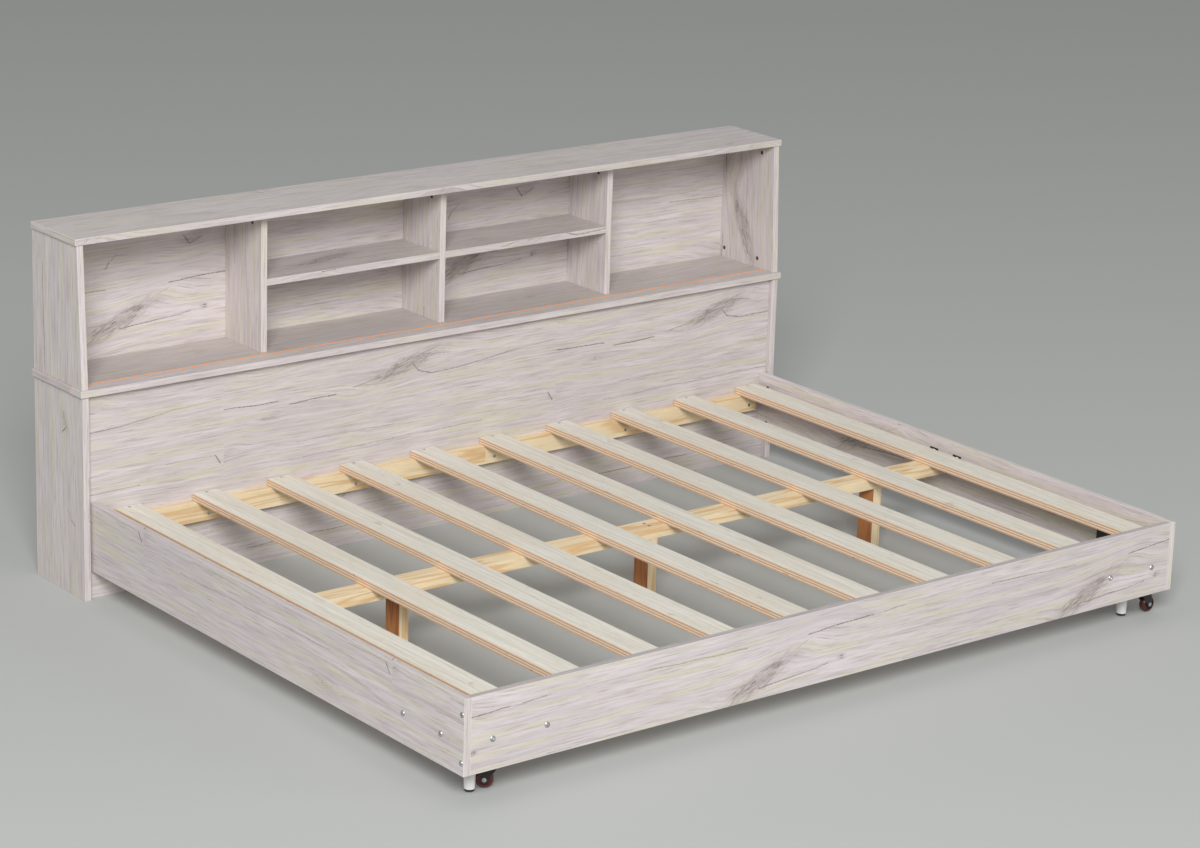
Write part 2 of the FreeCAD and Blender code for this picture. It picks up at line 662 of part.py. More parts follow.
def make_centre_beam():
    width = f"({RAIL_SPAN} - 2 * beam_end_gap)"
    beam = board("centre_beam", "XY", rectangle(width, "beam_width"), "beam_height", "slat_edge_round")
    start = f"({RAIL_INNER} + beam_end_gap)"
    spots = [(f"({x} + leg_width / 2 - {start})", f"(beam_width / 2 {side} leg_screw_spread)")
             for x in LEG_SPOTS for side in "+-"]
    bore(beam, "XY", "beam_height", spots, SCREW_HOLE, "beam_height")
    bore(beam, "XY", "beam_height", spots, SCREW_HEAD_HOLE, "wood_screw_head_height")
    put(keep(beam, "centre_beam"), start, f"({BEAM_Y} - beam_width / 2)", BEAM_BOTTOM)
    for index, x in enumerate(LEG_SPOTS, 1):
        label = f"beam_leg_{index}"
        leg = board(label, "XY", rectangle("leg_width", "leg_depth"), BEAM_BOTTOM, "slat_edge_round")
        spots = [("(leg_width / 2)", f"(leg_depth / 2 {side} leg_screw_spread)") for side in "+-"]
        bore(leg, "XY", BEAM_BOTTOM, spots, SCREW_HOLE, "leg_screw_length - beam_height + hole_gap")
        put(keep(leg, label), x, f"({BEAM_Y} - leg_depth / 2)", "0")


# ---------------------------------------------------------------- steel fittings

def make_hangers():
    """A back plate with two ears, screwed to the rail, and a seat that carries the beam's end."""
    body = doc.addObject("PartDesign::Body", "beam_hanger")
    width = "(beam_width + 2 * hanger_wing)"
    saddle = "(beam_height + hanger_thickness)"
    height = f"({saddle} + hanger_rise)"
    near = "hanger_wing"
    far = "(hanger_wing + beam_width)"
    plate = new_sketch(body, "YZ")
    draw_outline(plate, [("0", "0"), (width, "0"), (width, height), (far, height), (far, saddle),
                         (near, saddle), (near, height), ("0", height)])
    pad(body, plate, "hanger_thickness")
    seat = new_sketch(body, "XY")
    draw_outline(seat, [("0", near), ("hanger_seat", near), ("hanger_seat", far), ("0", far)])
    pad(body, seat, "hanger_thickness")
    ease_edges(body, "metal_edge_round")
    level = f"({BEAM_BOTTOM} - hanger_thickness)"
    screw_level = f"({HANGER_SCREW_LEVEL} - {level})"
    spots = [("(hanger_wing / 2)", screw_level), (f"({width} - hanger_wing / 2)", screw_level)]
    bore(body, "YZ", "hanger_thickness", spots, SCREW_HOLE, "hanger_thickness")
    places = [
        ("down", RAIL_INNER, f"({BEAM_Y} - {width} / 2)", level),
        ("about", from_right(RAIL_INNER), f"({BEAM_Y} + {width} / 2)", level),
    ]
    group("beam_hangers", (body, places))


def make_corner_bracket(label, side):
    """Folded steel: a flange on each rail and a shelf for the caster and the levelling foot.

    It is made for the left corner, but with the shelf and the nut that belong to `side`.
    """
    body = doc.addObject("PartDesign::Body", label)
    shelf = new_sketch(body, "XY")
    draw_outline(shelf, rectangle(f"bracket_shelf_{side}", "bracket_shelf_depth"))
    pad(body, shelf, "bracket_thickness")
    side_flange = new_sketch(body, "YZ")
    draw_outline(side_flange, rectangle("bracket_side_reach", "bracket_height"))
    pad(body, side_flange, "bracket_thickness")
    foot_flange = new_sketch(body, "XZ")
    draw_outline(foot_flange, rectangle("bracket_foot_reach", "bracket_height"))
    pad(body, foot_flange, "bracket_thickness", backward=True)
    ease_edges(body, "metal_edge_round")
    nut = (f"foot_inset_{side}", "foot_inset_front")
    boss = new_sketch(body, "XY", "bracket_thickness / 2")
    draw_circle(boss, nut, "nut_boss_diameter")
    pad(body, boss, "nut_boss_height + bracket_thickness / 2")
    level = "(bolt_rise - bracket_lift)"
    bore(body, "YZ", "bracket_thickness", [(y, level) for y in SIDE_BOLTS], BOLT_HOLE, "bracket_thickness")
    bore(body, "XZ", "0", [(x, level) for x in FOOT_BOLTS], BOLT_HOLE, "bracket_thickness")
    bore(body, "XY", "bracket_thickness + nut_boss_height", [nut],
         "foot_stem_diameter + 4 * hole_gap", "bracket_thickness + nut_boss_height")
    put(body, RAIL_INNER, FOOT_INNER, BRACKET_BOTTOM)
    return body


def make_corner_brackets():
    keep(make_corner_bracket("corner_bracket_left", "left"), "corner_bracket_left")
    mirrored("corner_bracket_right", make_corner_bracket("unmirrored_bracket", "right"))


def make_levelling_foot(side):
    stem_start = "(foot_pad_height + foot_stem_seat)"
    stem = turned(f"foot_stem_{side}", [
        ("0", stem_start),
        ("(foot_stem_diameter / 2)", stem_start),
        ("(foot_stem_diameter / 2)", f"({stem_start} + foot_stem_length - foot_stem_chamfer)"),
        ("(foot_stem_diameter / 2 - foot_stem_chamfer)", f"({stem_start} + foot_stem_length)"),
        ("0", f"({stem_start} + foot_stem_length)"),
    ])
    cup_start = "(foot_pad_height - foot_pad_socket)"
    cup_end = f"({cup_start} + foot_cup_height)"
    cup = turned(f"foot_cup_{side}", [
        ("(foot_pad_diameter / 2)", cup_start),
        ("(foot_cup_bottom / 2)", cup_start),
        ("(foot_cup_top / 2)", f"({cup_end} - foot_cup_shoulder)"),
        ("(foot_cup_top / 2 - foot_cup_shoulder)", cup_end),
        ("(foot_stem_diameter / 2)", cup_end),
        ("(foot_stem_diameter / 2)", stem_start),
        ("0", stem_start),
        ("0", "foot_pad_height"),
        ("(foot_pad_diameter / 2)", "foot_pad_height"),
    ])
    pad_piece = turned(f"foot_pad_{side}", [
        ("0", "0"),
        ("(foot_pad_diameter / 2 - foot_pad_chamfer)", "0"),
        ("(foot_pad_diameter / 2)", "foot_pad_chamfer"),
        ("(foot_pad_diameter / 2)", "foot_pad_height"),
        ("0", "foot_pad_height"),
    ])
    for body in (stem, cup, pad_piece):
        put(keep(body, body.Name), FOOT_X[side], FOOT_Y, "0")


def make_caster_plate(label):
    """Fixed half of a caster: top plate, race and the riveted kingpin that the fork turns on."""
    body = doc.addObject("PartDesign::Body", label)
    half = "(caster_plate_size / 2)"
    plate = new_sketch(body, "XY", PLATE_BOTTOM)
    draw_outline(plate, [(f"-{half}", f"-{half}"), (half, f"-{half}"), (half, half), (f"-{half}", half)])
    pad(body, plate, "caster_plate_thickness")
    ease_edges(body, "metal_edge_round")
    race = new_sketch(body, "XY", RACE_BOTTOM)
    draw_circle(race, ("0", "0"), "caster_race_diameter")
    pad(body, race, "caster_race_height + caster_rivet_overlap")
    head_top = f"({FORK_CEILING} - caster_running_gap)"
    kingpin = new_sketch(body, "XY", head_top)
    draw_circle(kingpin, ("0", "0"), "caster_pin_diameter")
    pad(body, kingpin, f"{RACE_BOTTOM} - {head_top} + caster_rivet_overlap")
    head = new_sketch(body, "XY", f"{head_top} - caster_pin_head_height")
    draw_circle(head, ("0", "0"), "caster_pin_head_diameter")
    pad(body, head, "caster_pin_head_height")
    return body


def make_caster_fork(label):
    body = doc.addObject("PartDesign::Body", label)
    crown = "(caster_race_diameter / 2)"
    side = new_sketch(body, "XZ")
    draw_outline(side, [
        (f"-{crown}", FORK_TOP),
        (f"-{crown}", f"({FORK_TOP} - caster_fork_skirt)"),
        ("(caster_trail - caster_fork_nose)", AXLE_Z),
        ("(caster_trail + caster_fork_nose)", AXLE_Z),
        (f"({crown} + caster_fork_front)", FORK_TOP),
    ])
    pad(body, side, f"2 * {FORK_HALF}", middle=True)
    nose = new_sketch(body, "XZ")
    draw_circle(nose, ("caster_trail", AXLE_Z), "2 * caster_fork_nose")
    pad(body, nose, f"2 * {FORK_HALF}", middle=True)
    throat = new_sketch(body, "YZ", "-caster_race_diameter")
    inner = "(caster_fork_inside / 2)"
    throat_outline = [(f"-{inner}", "0"), (inner, "0"), (inner, FORK_CEILING), (f"-{inner}", FORK_CEILING)]
    draw_outline(throat, throat_outline)
    cut(body, throat, "3 * caster_race_diameter", backward=True)
    bore(body, "XY", FORK_TOP, [("0", "0")], "caster_pin_diameter + 2 * caster_running_gap",
         "caster_fork_thickness")
    bore(body, "XZ", f"-{FORK_HALF}", [("caster_trail", AXLE_Z)], "axle_diameter", f"2 * {FORK_HALF}",
         backward=True)
    return body


def make_wheel(label):
    """A moulded wheel with a recessed web, turned about the y axis through its own centre."""
    bore_radius = "(axle_diameter / 2 + axle_gap)"
    hub = "(wheel_hub_diameter / 2)"
    rim = "(wheel_diameter / 2 - wheel_rim_thickness)"
    outer = "(wheel_diameter / 2)"
    half = "(wheel_width / 2)"
    web = "(wheel_web_width / 2)"
    return turned(label, [
        (bore_radius, f"-{half}"),
        (hub, f"-{half}"),
        (hub, f"-{web}"),
        (rim, f"-{web}"),
        (rim, f"-{half}"),
        (f"({outer} - wheel_edge)", f"-{half}"),
        (outer, f"-({half} - wheel_edge)"),
        (outer, f"({half} - wheel_edge)"),
        (f"({outer} - wheel_edge)", half),
        (rim, half),
        (rim, web),
        (hub, web),
        (hub, half),
        (bore_radius, half),
    ], plane="XY")


def make_axle(label):
    """A riveted axle along y with a flat head at each end."""
    radius = "(axle_diameter / 2)"
    head = "(axle_head_diameter / 2)"
    inner = FORK_HALF
    outer = f"({FORK_HALF} + axle_head_height)"
    return turned(label, [
        ("0", f"-{outer}"),
        (head, f"-{outer}"),
        (head, f"-{inner}"),
        (radius, f"-{inner}"),
        (radius, inner),
        (head, inner),
        (head, outer),
        ("0", outer),
    ], plane="XY")


def make_caster(side):
    """A caster whose fork trails in the direction that `side` has in the sheet."""
    axis_x = CASTER_X[side]
    heading = f"caster_heading_{side}"
    plate = make_caster_plate(f"caster_plate_{side}")
    fork = make_caster_fork(f"caster_fork_{side}")
    wheel = make_wheel(f"caster_wheel_{side}")
    axle = make_axle(f"caster_axle_{side}")
    for piece in (plate, fork):
        put(piece, axis_x, CASTER_Y, "0")
    for piece in (wheel, axle):
        put(piece, f"({axis_x} + caster_trail * cos({heading}))",
            f"({CASTER_Y} + caster_trail * sin({heading}))", AXLE_Z)
    for piece in (fork, wheel, axle):
        piece.setExpression("Placement.Rotation.Angle", formula(heading))
    for piece in (plate, fork, wheel, axle):
        keep(piece, piece.Name)


# ---------------------------------------------------------------- fasteners

def sink_hexagon(body, level):
    """A hexagon socket in the top of a head."""
    half = "(hex_socket / 2)"
    corner = "(hex_socket / sqrt(3))"
    side = "(hex_socket / sqrt(12))"
    socket = new_sketch(body, "XY", level)
    draw_outline(socket, [(corner, "0"), (side, half), (f"-{side}", half), (f"-{corner}", "0"),
                          (f"-{side}", f"-{half}"), (side, f"-{half}")])
    cut(body, socket, "hex_socket_depth")


def sink_cross(body, level):
    """A cross recess in the top of a head."""
    reach = "(cross_length / 2)"
    half = "(cross_width / 2)"
    for across, upward in ((reach, half), (half, reach)):
        slot = new_sketch(body, "XY", level)
        draw_outline(slot, [(f"-{across}", f"-{upward}"), (across, f"-{upward}"), (across, upward),
                            (f"-{across}", upward)])
        cut(body, slot, "cross_depth")


def fastener(label, diameter, length, head_diameter, head_height, drive, countersunk=False):
    """A fastener with its seat at the origin, its tip below it and its head above it."""
    radius = f"({diameter} / 2)"
    head = f"({head_diameter} / 2)"
    tip = [("0", f"-{length}"), (f"({radius} - tip_chamfer)", f"-{length}"),
           (radius, f"-({length} - tip_chamfer)")]
    if countersunk:
        top = [(radius, f"-{head_height}"), (head, "0"), ("0", "0")]
    else:
        shoulder = f"({head} - {head_height} / 2)"
        top = [(radius, "0"), (head, "0"), (head, f"({head_height} / 3)"), (shoulder, head_height),
               ("0", head_height)]
    body = turned(label, tip + top)
    drive(body, top[-1][1])
    return body


def make_wood_screws():
    master = fastener("wood_screw", "wood_screw_diameter", "wood_screw_length",
                      "wood_screw_head_diameter", "wood_screw_head_height", sink_cross, countersunk=True)
    places = []
    reach = "(ledger_thickness / 2)"
    for x in SLAT_MIDDLES:
        places.append(("down", x, f"({FRONT_FACE} - {reach})", SLAT_TOP))
        places.append(("down", x, f"({FOOT_INNER} + {reach})", SLAT_TOP))
    face = f"({FRONT_FACE} - ledger_thickness)"
    for side in ("left", "right"):
        places += [("back", x, face, LEDGER_SCREW_LEVEL) for x in LEDGER_SCREWS[side]]
    face = f"({FOOT_INNER} + ledger_thickness)"
    places += [("front", x, face, FOOT_LEDGER_SCREW_LEVEL) for x in SLAT_MIDDLES[::2]]
    group("wood_screws", (master, places))


def make_leg_screws():
    master = fastener("leg_screw", "wood_screw_diameter", "leg_screw_length",
                      "wood_screw_head_diameter", "wood_screw_head_height", sink_cross, countersunk=True)
    places = [("down", f"({x} + leg_width / 2)", f"({BEAM_Y} {side} leg_screw_spread)", "ledger_top")
              for x in LEG_SPOTS for side in "+-"]
    group("leg_screws", (master, places))


def make_hanger_screws():
    master = fastener("hanger_screw", "wood_screw_diameter", "hanger_screw_length",
                      "wood_screw_head_diameter", "wood_screw_head_height", sink_cross)
    seat = f"({RAIL_INNER} + hanger_thickness)"
    places = []
    for y in (f"({BEAM_Y} - {HANGER_SCREW_REACH})", f"({BEAM_Y} + {HANGER_SCREW_REACH})"):
        places.append(("left", seat, y, HANGER_SCREW_LEVEL))
        places.append(("right", from_right(seat), y, HANGER_SCREW_LEVEL))
    group("hanger_screws", (master, places))


def make_bracket_bolts():
    master = fastener("bracket_bolt", "bolt_diameter", "bolt_length", "bolt_head_diameter",
                      "bolt_head_height", sink_hexagon)
    level = "(rail_bottom + bolt_rise)"
    places = []
    for reach in SIDE_BOLTS:
        y = f"({FOOT_INNER} + {reach})"
        places.append(("right", RAIL_OUTER, y, level))
        places.append(("left", from_right(RAIL_OUTER), y, level))
    for reach in FOOT_BOLTS:
        x = f"({RAIL_INNER} + {reach})"
        places.append(("back", x, "-platform_reach", level))
        places.append(("back", from_right(x), "-platform_reach", level))
    group("bracket_bolts", (master, places))


def make_confirmats():
    master = fastener("confirmat", "confirmat_diameter", "confirmat_length", "confirmat_head_diameter",
                      "confirmat_head_height", sink_hexagon)
    places = []
    for rise in CONFIRMAT_RISES:
        y = "(rail_thickness / 2 - platform_reach)"
        places.append(("right", RAIL_OUTER, y, f"(rail_bottom + {rise})"))
        places.append(("left", from_right(RAIL_OUTER), y, f"(rail_bottom + {rise})"))
    group("corner_screws", (master, places))


def make_cams():
    """Cam locks flush with a face, slotted across, with a dowel that each of them pulls on."""
    cam = turned("cam", [
        ("0", "-cam_depth"),
        ("(cam_diameter / 2)", "-cam_depth"),
        ("(cam_diameter / 2)", "-metal_edge_round"),
        ("(cam_diameter / 2 - metal_edge_round)", "0"),
        ("0", "0"),
    ])
    slot = new_sketch(cam, "XY")
    reach = "(cam_diameter / 2 - cam_slot_margin)"
    half = "(cam_slot_width / 2)"
    draw_outline(slot, [(f"-{reach}", f"-{half}"), (reach, f"-{half}"), (reach, half), (f"-{reach}", half)])
    cut(cam, slot, "cam_slot_depth")

    run = "(cam_dowel_bite + cam_edge_distance - cam_diameter / 2 - 2 * hole_gap)"
    rail_run = "(cam_dowel_bite + rail_cam_setback - cam_diameter / 2 - 2 * hole_gap)"
    dowels = {}
    for name, length in (("panel_dowel", run), ("rail_dowel", rail_run)):
        radius = "(cam_dowel_diameter / 2)"
        dowels[name] = turned(name, [("0", "0"), (radius, "0"), (radius, length), ("0", length)])

    cam_places = []
    dowel_places = []
    top = f"({UPPER_TOP} - cam_edge_distance)"
    foot = f"({MID_TOP} + cam_edge_distance)"
    for y in END_CAM_SPOTS:
        for level in (top, foot):
            cam_places.append(("left", "panel_thickness", y, level))
            cam_places.append(("right", from_right("panel_thickness"), y, level))
        for x in ("(panel_thickness / 2)", from_right("panel_thickness / 2")):
            dowel_places.append(("down", x, y, f"({top} + cam_diameter / 2 + hole_gap)"))
            dowel_places.append(("up", x, y, f"({foot} - cam_diameter / 2 - hole_gap)"))
    for index in (1, 2, 3):
        for y in DIVIDER_CAM_SPOTS:
            cam_places.append(("right", divider_left(index), y, top))
            middle = f"({divider_left(index)} + panel_thickness / 2)"
            dowel_places.append(("down", middle, y, f"({top} + cam_diameter / 2 + hole_gap)"))
            dowel_places.append(("up", middle, y, f"({foot} - cam_diameter / 2 - hole_gap)"))
    rail_places = []
    line = f"({FRONT_FACE} - rail_cam_setback)"
    for rise in RAIL_CAM_RISES:
        level = f"(rail_bottom + {rise})"
        cam_places.append(("left", RAIL_INNER, line, level))
        cam_places.append(("right", from_right(RAIL_INNER), line, level))
        middle = f"({RAIL_OUTER} + rail_thickness / 2)"
        for x in (middle, from_right(middle)):
            rail_places.append(("front", x, f"({line} + cam_diameter / 2 + hole_gap)", level))
    group("cam_locks", (cam, cam_places))
    group("cam_dowels", (dowels["panel_dowel"], dowel_places), (dowels["rail_dowel"], rail_places))


def make_shelf_pins():
    """A peg in the divider with a thicker round end that the shelf lies on."""
    peg = "(pin_diameter / 2)"
    head = "(pin_head_diameter / 2)"
    master = turned("shelf_pin", [
        ("0", "-(pin_bite - hole_gap)"),
        (peg, "-(pin_bite - hole_gap)"),
        (peg, "0"),
        (head, "0"),
        (head, "(pin_reach - pin_chamfer)"),
        (f"({head} - pin_chamfer)", "pin_reach"),
        ("0", "pin_reach"),
    ])
    places = []
    for index in (1, 2):
        left_wall = f"({divider_left(index)} + panel_thickness)"
        right_wall = f"({left_wall} + {BAY_WIDTH})"
        for y in PIN_COLUMNS:
            places.append(("left", left_wall, y, PIN_LEVEL))
            places.append(("right", right_wall, y, PIN_LEVEL))
    group("shelf_pins", (master, places))


# ---------------------------------------------------------------- the whole bed

make_lower_unit()
make_mid_board()
make_upper_ends()
make_top_panel()
make_dividers()
make_shelves()
make_upper_back()
make_rails()
make_ledgers()
make_slats()
make_centre_beam()
make_hangers()
make_corner_brackets()
for corner in ("left", "right"):
    make_levelling_foot(corner)
    make_caster(corner)
make_wood_screws()
make_leg_screws()
make_hanger_screws()
make_bracket_bolts()
make_confirmats()
make_cams()
make_shelf_pins()
doc.recompute()


def check_document():
    """Stop before anything is written if an object failed or a cut missed its body."""
    for item in doc.Objects:
        if "Invalid" in item.State or "Error" in item.State:
            raise RuntimeError(f"{item.Label} ({item.TypeId}) failed: {item.State}")
        if item.TypeId == "PartDesign::Pocket":
            before = item.BaseFeature.Shape.Volume
            if item.Shape.Volume > before - 1e-3:
                raise RuntimeError(f"{item.Label} cuts nothing from {item.getParent().Label}")
    for piece in sub_parts:
        if piece.Shape.isNull() or not piece.Shape.isValid():
            raise RuntimeError(f"{piece.Label} has no valid shape")


check_document()
os.makedirs("parts", exist_ok=True)
for piece in sub_parts:
    piece.Shape.exportStep(f"parts/{piece.Label}.step")
print(f"{len(sub_parts)} sub-parts written")
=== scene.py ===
"""Finishes, floor, light and camera for a bookcase headboard bed. Lengths are in metres."""

import math

import bpy
from mathutils import Matrix, Vector


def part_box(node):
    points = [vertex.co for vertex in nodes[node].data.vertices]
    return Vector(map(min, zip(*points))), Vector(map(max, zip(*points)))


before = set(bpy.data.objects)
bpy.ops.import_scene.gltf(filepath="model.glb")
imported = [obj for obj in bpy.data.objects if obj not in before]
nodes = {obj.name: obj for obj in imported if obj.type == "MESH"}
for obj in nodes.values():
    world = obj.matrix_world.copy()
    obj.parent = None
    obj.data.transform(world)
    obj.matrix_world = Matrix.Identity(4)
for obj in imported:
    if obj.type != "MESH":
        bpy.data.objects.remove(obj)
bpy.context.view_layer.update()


def colour(red, green, blue):
    """A screen colour, each channel from 0 to 255, as the linear colour that a shader takes."""
    linear = []
    for channel in (red, green, blue):
        level = channel / 255
        linear.append(level / 12.92 if level <= 0.04045 else ((level + 0.055) / 1.055) ** 2.4)
    return (*linear, 1.0)


# ---------------------------------------------------------------- shader building

class Tree:
    """Short ways to add and join the nodes of one material or node group."""

    def __init__(self, tree):
        self.tree = tree

    def add(self, kind, **settings):
        made = self.tree.nodes.new(kind)
        for name, value in settings.items():
            setattr(made, name, value)
        return made

    def feed(self, socket, value):
        if isinstance(value, bpy.types.NodeSocket):
            self.tree.links.new(value, socket)
        else:
            socket.default_value = value

    def math(self, operation, *values):
        made = self.add("ShaderNodeMath", operation=operation)
        for socket, value in zip(made.inputs, values):
            self.feed(socket, value)
        return made.outputs[0]

    def vector(self, *parts):
        made = self.add("ShaderNodeCombineXYZ")
        for socket, value in zip(made.inputs, parts):
            self.feed(socket, value)
        return made.outputs[0]

    def parts(self, vector):
        made = self.add("ShaderNodeSeparateXYZ")
        self.feed(made.inputs[0], vector)
        return made.outputs

    def noise(self, vector, scale, detail=2.0, roughness=0.5, distortion=0.0):
        made = self.add("ShaderNodeTexNoise")
        self.feed(made.inputs["Vector"], vector)
        made.inputs["Scale"].default_value = scale
        made.inputs["Detail"].default_value = detail
        made.inputs["Roughness"].default_value = roughness
        made.inputs["Distortion"].default_value = distortion
        return made.outputs["Fac"]

    def rise(self, value, low, high, start=0.0, end=1.0):
        """`value` mapped smoothly from low..high to start..end, and held outside it."""
        made = self.add("ShaderNodeMapRange", interpolation_type="SMOOTHSTEP")
        for name, number in (("Value", value), ("From Min", low), ("From Max", high),
                             ("To Min", start), ("To Max", end)):
            self.feed(made.inputs[name], number)
        return made.outputs[0]

    def blend(self, factor, first, second, mode="MIX"):
        """Colour `first` where factor is 0 and `second` where it is 1."""
        made = self.add("ShaderNodeMix", data_type="RGBA", blend_type=mode)
        self.feed(made.inputs[0], factor)
        self.feed(made.inputs[6], first)
        self.feed(made.inputs[7], second)
        return made.outputs[2]

    def choose(self, factor, first, second):
        """The number `first` where factor is 0 and `second` where it is 1."""
        made = self.add("ShaderNodeMix", data_type="FLOAT")
        self.feed(made.inputs[0], factor)
        self.feed(made.inputs[2], first)
        self.feed(made.inputs[3], second)
        return made.outputs[0]

    def scaled_noise(self, parts, scales, seed, detail=2.0, roughness=0.5, distortion=0.0):
        """Noise over two coordinates, each stretched by its own scale; `seed` picks the pattern."""
        scaled = [self.math("MULTIPLY", part, scale) for part, scale in zip(parts, scales)]
        return self.noise(self.vector(*scaled, seed), 1.0, detail, roughness, distortion)

    def total(self, values):
        result = values[0]
        for value in values[1:]:
            result = self.math("ADD", result, value)
        return result

    def highest(self, values):
        result = values[0]
        for value in values[1:]:
            result = self.math("MAXIMUM", result, value)
        return result

    def inside(self):
        """The object's own coordinates and normal, which stay with it when it moves."""
        made = self.add("ShaderNodeTexCoord")
        return made.outputs["Object"], made.outputs["Normal"]


def new_material(name, roughness, metallic=0.0, specular=0.5, coat=0.0):
    """A material with a Principled shader; returns it with its tree and that shader."""
    material = bpy.data.materials.new(name)
    material.use_nodes = True
    tree = Tree(material.node_tree)
    shader = material.node_tree.nodes["Principled BSDF"]
    shader.inputs["Roughness"].default_value = roughness
    shader.inputs["Metallic"].default_value = metallic
    shader.inputs["Specular IOR Level"].default_value = specular
    shader.inputs["Coat Weight"].default_value = coat
    return material, tree, shader


def add_bump(tree, shader, height, distance, strength=1.0):
    bump = tree.add("ShaderNodeBump")
    bump.inputs["Strength"].default_value = strength
    bump.inputs["Distance"].default_value = distance
    tree.feed(bump.inputs["Height"], height)
    tree.feed(shader.inputs["Normal"], bump.outputs[0])


def paint(material, *names):
    """Give CAD nodes a material."""
    for name in names:
        mesh_object = nodes[name]
        if not mesh_object.material_slots:
            mesh_object.data.materials.append(material)
        for slot in mesh_object.material_slots:
            slot.material = material


# ---------------------------------------------------------------- whitewashed oak print
# The boards are covered with one printed pattern, which repeats along and across the grain.
# Places on it are (along, across); each board is cut from it at its own place.

PRINT_LENGTH = 0.942
PRINT_WIDTH = 0.86
PRINT_EMBOSSING = 0.00012
EDGE_PRINT_OFFSET = 0.31  # how far across the print a board's edges are cut from its faces
FACING_AXIS = 0.7  # a normal's share along an axis above which the face counts as square to it
OAK_LIGHT = colour(220, 212, 213)
OAK_MIDDLE = colour(206, 198, 199)
OAK_DEEP = colour(190, 180, 181)
OAK_FIBRE = colour(166, 154, 150)
OAK_CRACK = colour(112, 98, 92)
OAK_YELLOW = colour(206, 201, 180)

# Dark strokes of the print: start, end, half width, strength.
BRANCH_A = (0.50, 0.430)
BRANCH_B = (0.30, 0.580)
STROKES = [
    # loop below branch A and the line that runs on from it
    ((0.520, 0.428), (0.536, 0.410), 0.0012, 0.8),
    ((0.536, 0.410), (0.575, 0.400), 0.0012, 0.8),
    ((0.575, 0.400), (0.670, 0.404), 0.0010, 0.7),
    ((0.670, 0.404), (0.800, 0.419), 0.0009, 0.6),
    ((0.800, 0.419), (0.935, 0.428), 0.0008, 0.4),
    ((0.535, 0.452), (0.610, 0.444), 0.0009, 0.5),
    ((0.432, 0.412), (0.352, 0.398), 0.0009, 0.55),
    # hairline cracks left of it
    ((0.000, 0.400), (0.146, 0.396), 0.0010, 0.9),
    ((0.176, 0.386), (0.304, 0.389), 0.0010, 0.9),
    ((0.196, 0.292), (0.465, 0.291), 0.0008, 0.45),
    ((0.150, 0.252), (0.724, 0.260), 0.0009, 0.5),
    ((0.560, 0.122), (0.900, 0.128), 0.0008, 0.45),
    ((0.060, 0.060), (0.420, 0.066), 0.0010, 0.7),
    # notch A
    ((0.920, 0.297), (0.933, 0.277), 0.0014, 0.8),
    ((0.790, 0.296), (0.920, 0.297), 0.0007, 0.4),
    # crack, line and curve round branch B
    ((0.430, 0.655), (0.610, 0.664), 0.0010, 0.85),
    ((0.640, 0.664), (0.700, 0.667), 0.0009, 0.6),
    ((0.010, 0.665), (0.265, 0.658), 0.0009, 0.6),
    ((0.300, 0.564), (0.395, 0.571), 0.0010, 0.75),
    ((0.395, 0.571), (0.487, 0.579), 0.0009, 0.65),
    ((0.700, 0.545), (0.900, 0.549), 0.0008, 0.4),
    # notch B and a small one beside it
    ((0.470, 0.760), (0.486, 0.738), 0.0016, 0.75),
    ((0.486, 0.738), (0.520, 0.752), 0.0012, 0.6),
    ((0.266, 0.706), (0.276, 0.722), 0.0012, 0.7),
    ((0.276, 0.722), (0.296, 0.738), 0.0010, 0.5),
]
# Knots that the grain runs round: centre, reach along, reach across, tilt in degrees, darkness.
# The third lies at the seam of the repeat, which cuts it off.
KNOTS = [
    (BRANCH_A, 0.085, 0.017, 16, 1.0),
    (BRANCH_B, 0.090, 0.019, 24, 1.0),
    ((0.945 - PRINT_LENGTH, 0.290), 0.030, 0.014, 25, 0.30),
    ((0.120, 0.362), 0.034, 0.009, 3, 0.35),
    ((0.500, 0.750), 0.034, 0.014, 20, 0.35),
    ((0.524, 0.586), 0.010, 0.006, 10, 0.95),
    ((0.700, 0.180), 0.050, 0.014, -8, 0.35),
    ((0.330, 0.140), 0.020, 0.010, 12, 0.45),
]

# How far strokes are shaken off their line; their dark core and rim, in half widths.
STROKE_SHAKE = 0.003
STROKE_DRIFT = 0.010
STROKE_CORE = 0.4
STROKE_RIM = 1.8

# How much a knot bends the grain, and how fast that fades with the square of the distance.
GRAIN_BEND = 0.55
GRAIN_BEND_FADE = 0.22

# Knots that reach farther along than this are torn bundles; the others are round.
TORN_KNOT_REACH = 0.08
TORN_RAGGEDNESS = 3.4
TORN_HALO = 0.42
ROUND_HALO = 0.35

GROWTH_SCALE = 46.0  # a growth line every two units of this, per metre across
GROWTH_WANDER = 6.0
GROWTH_DARKNESS = 0.34


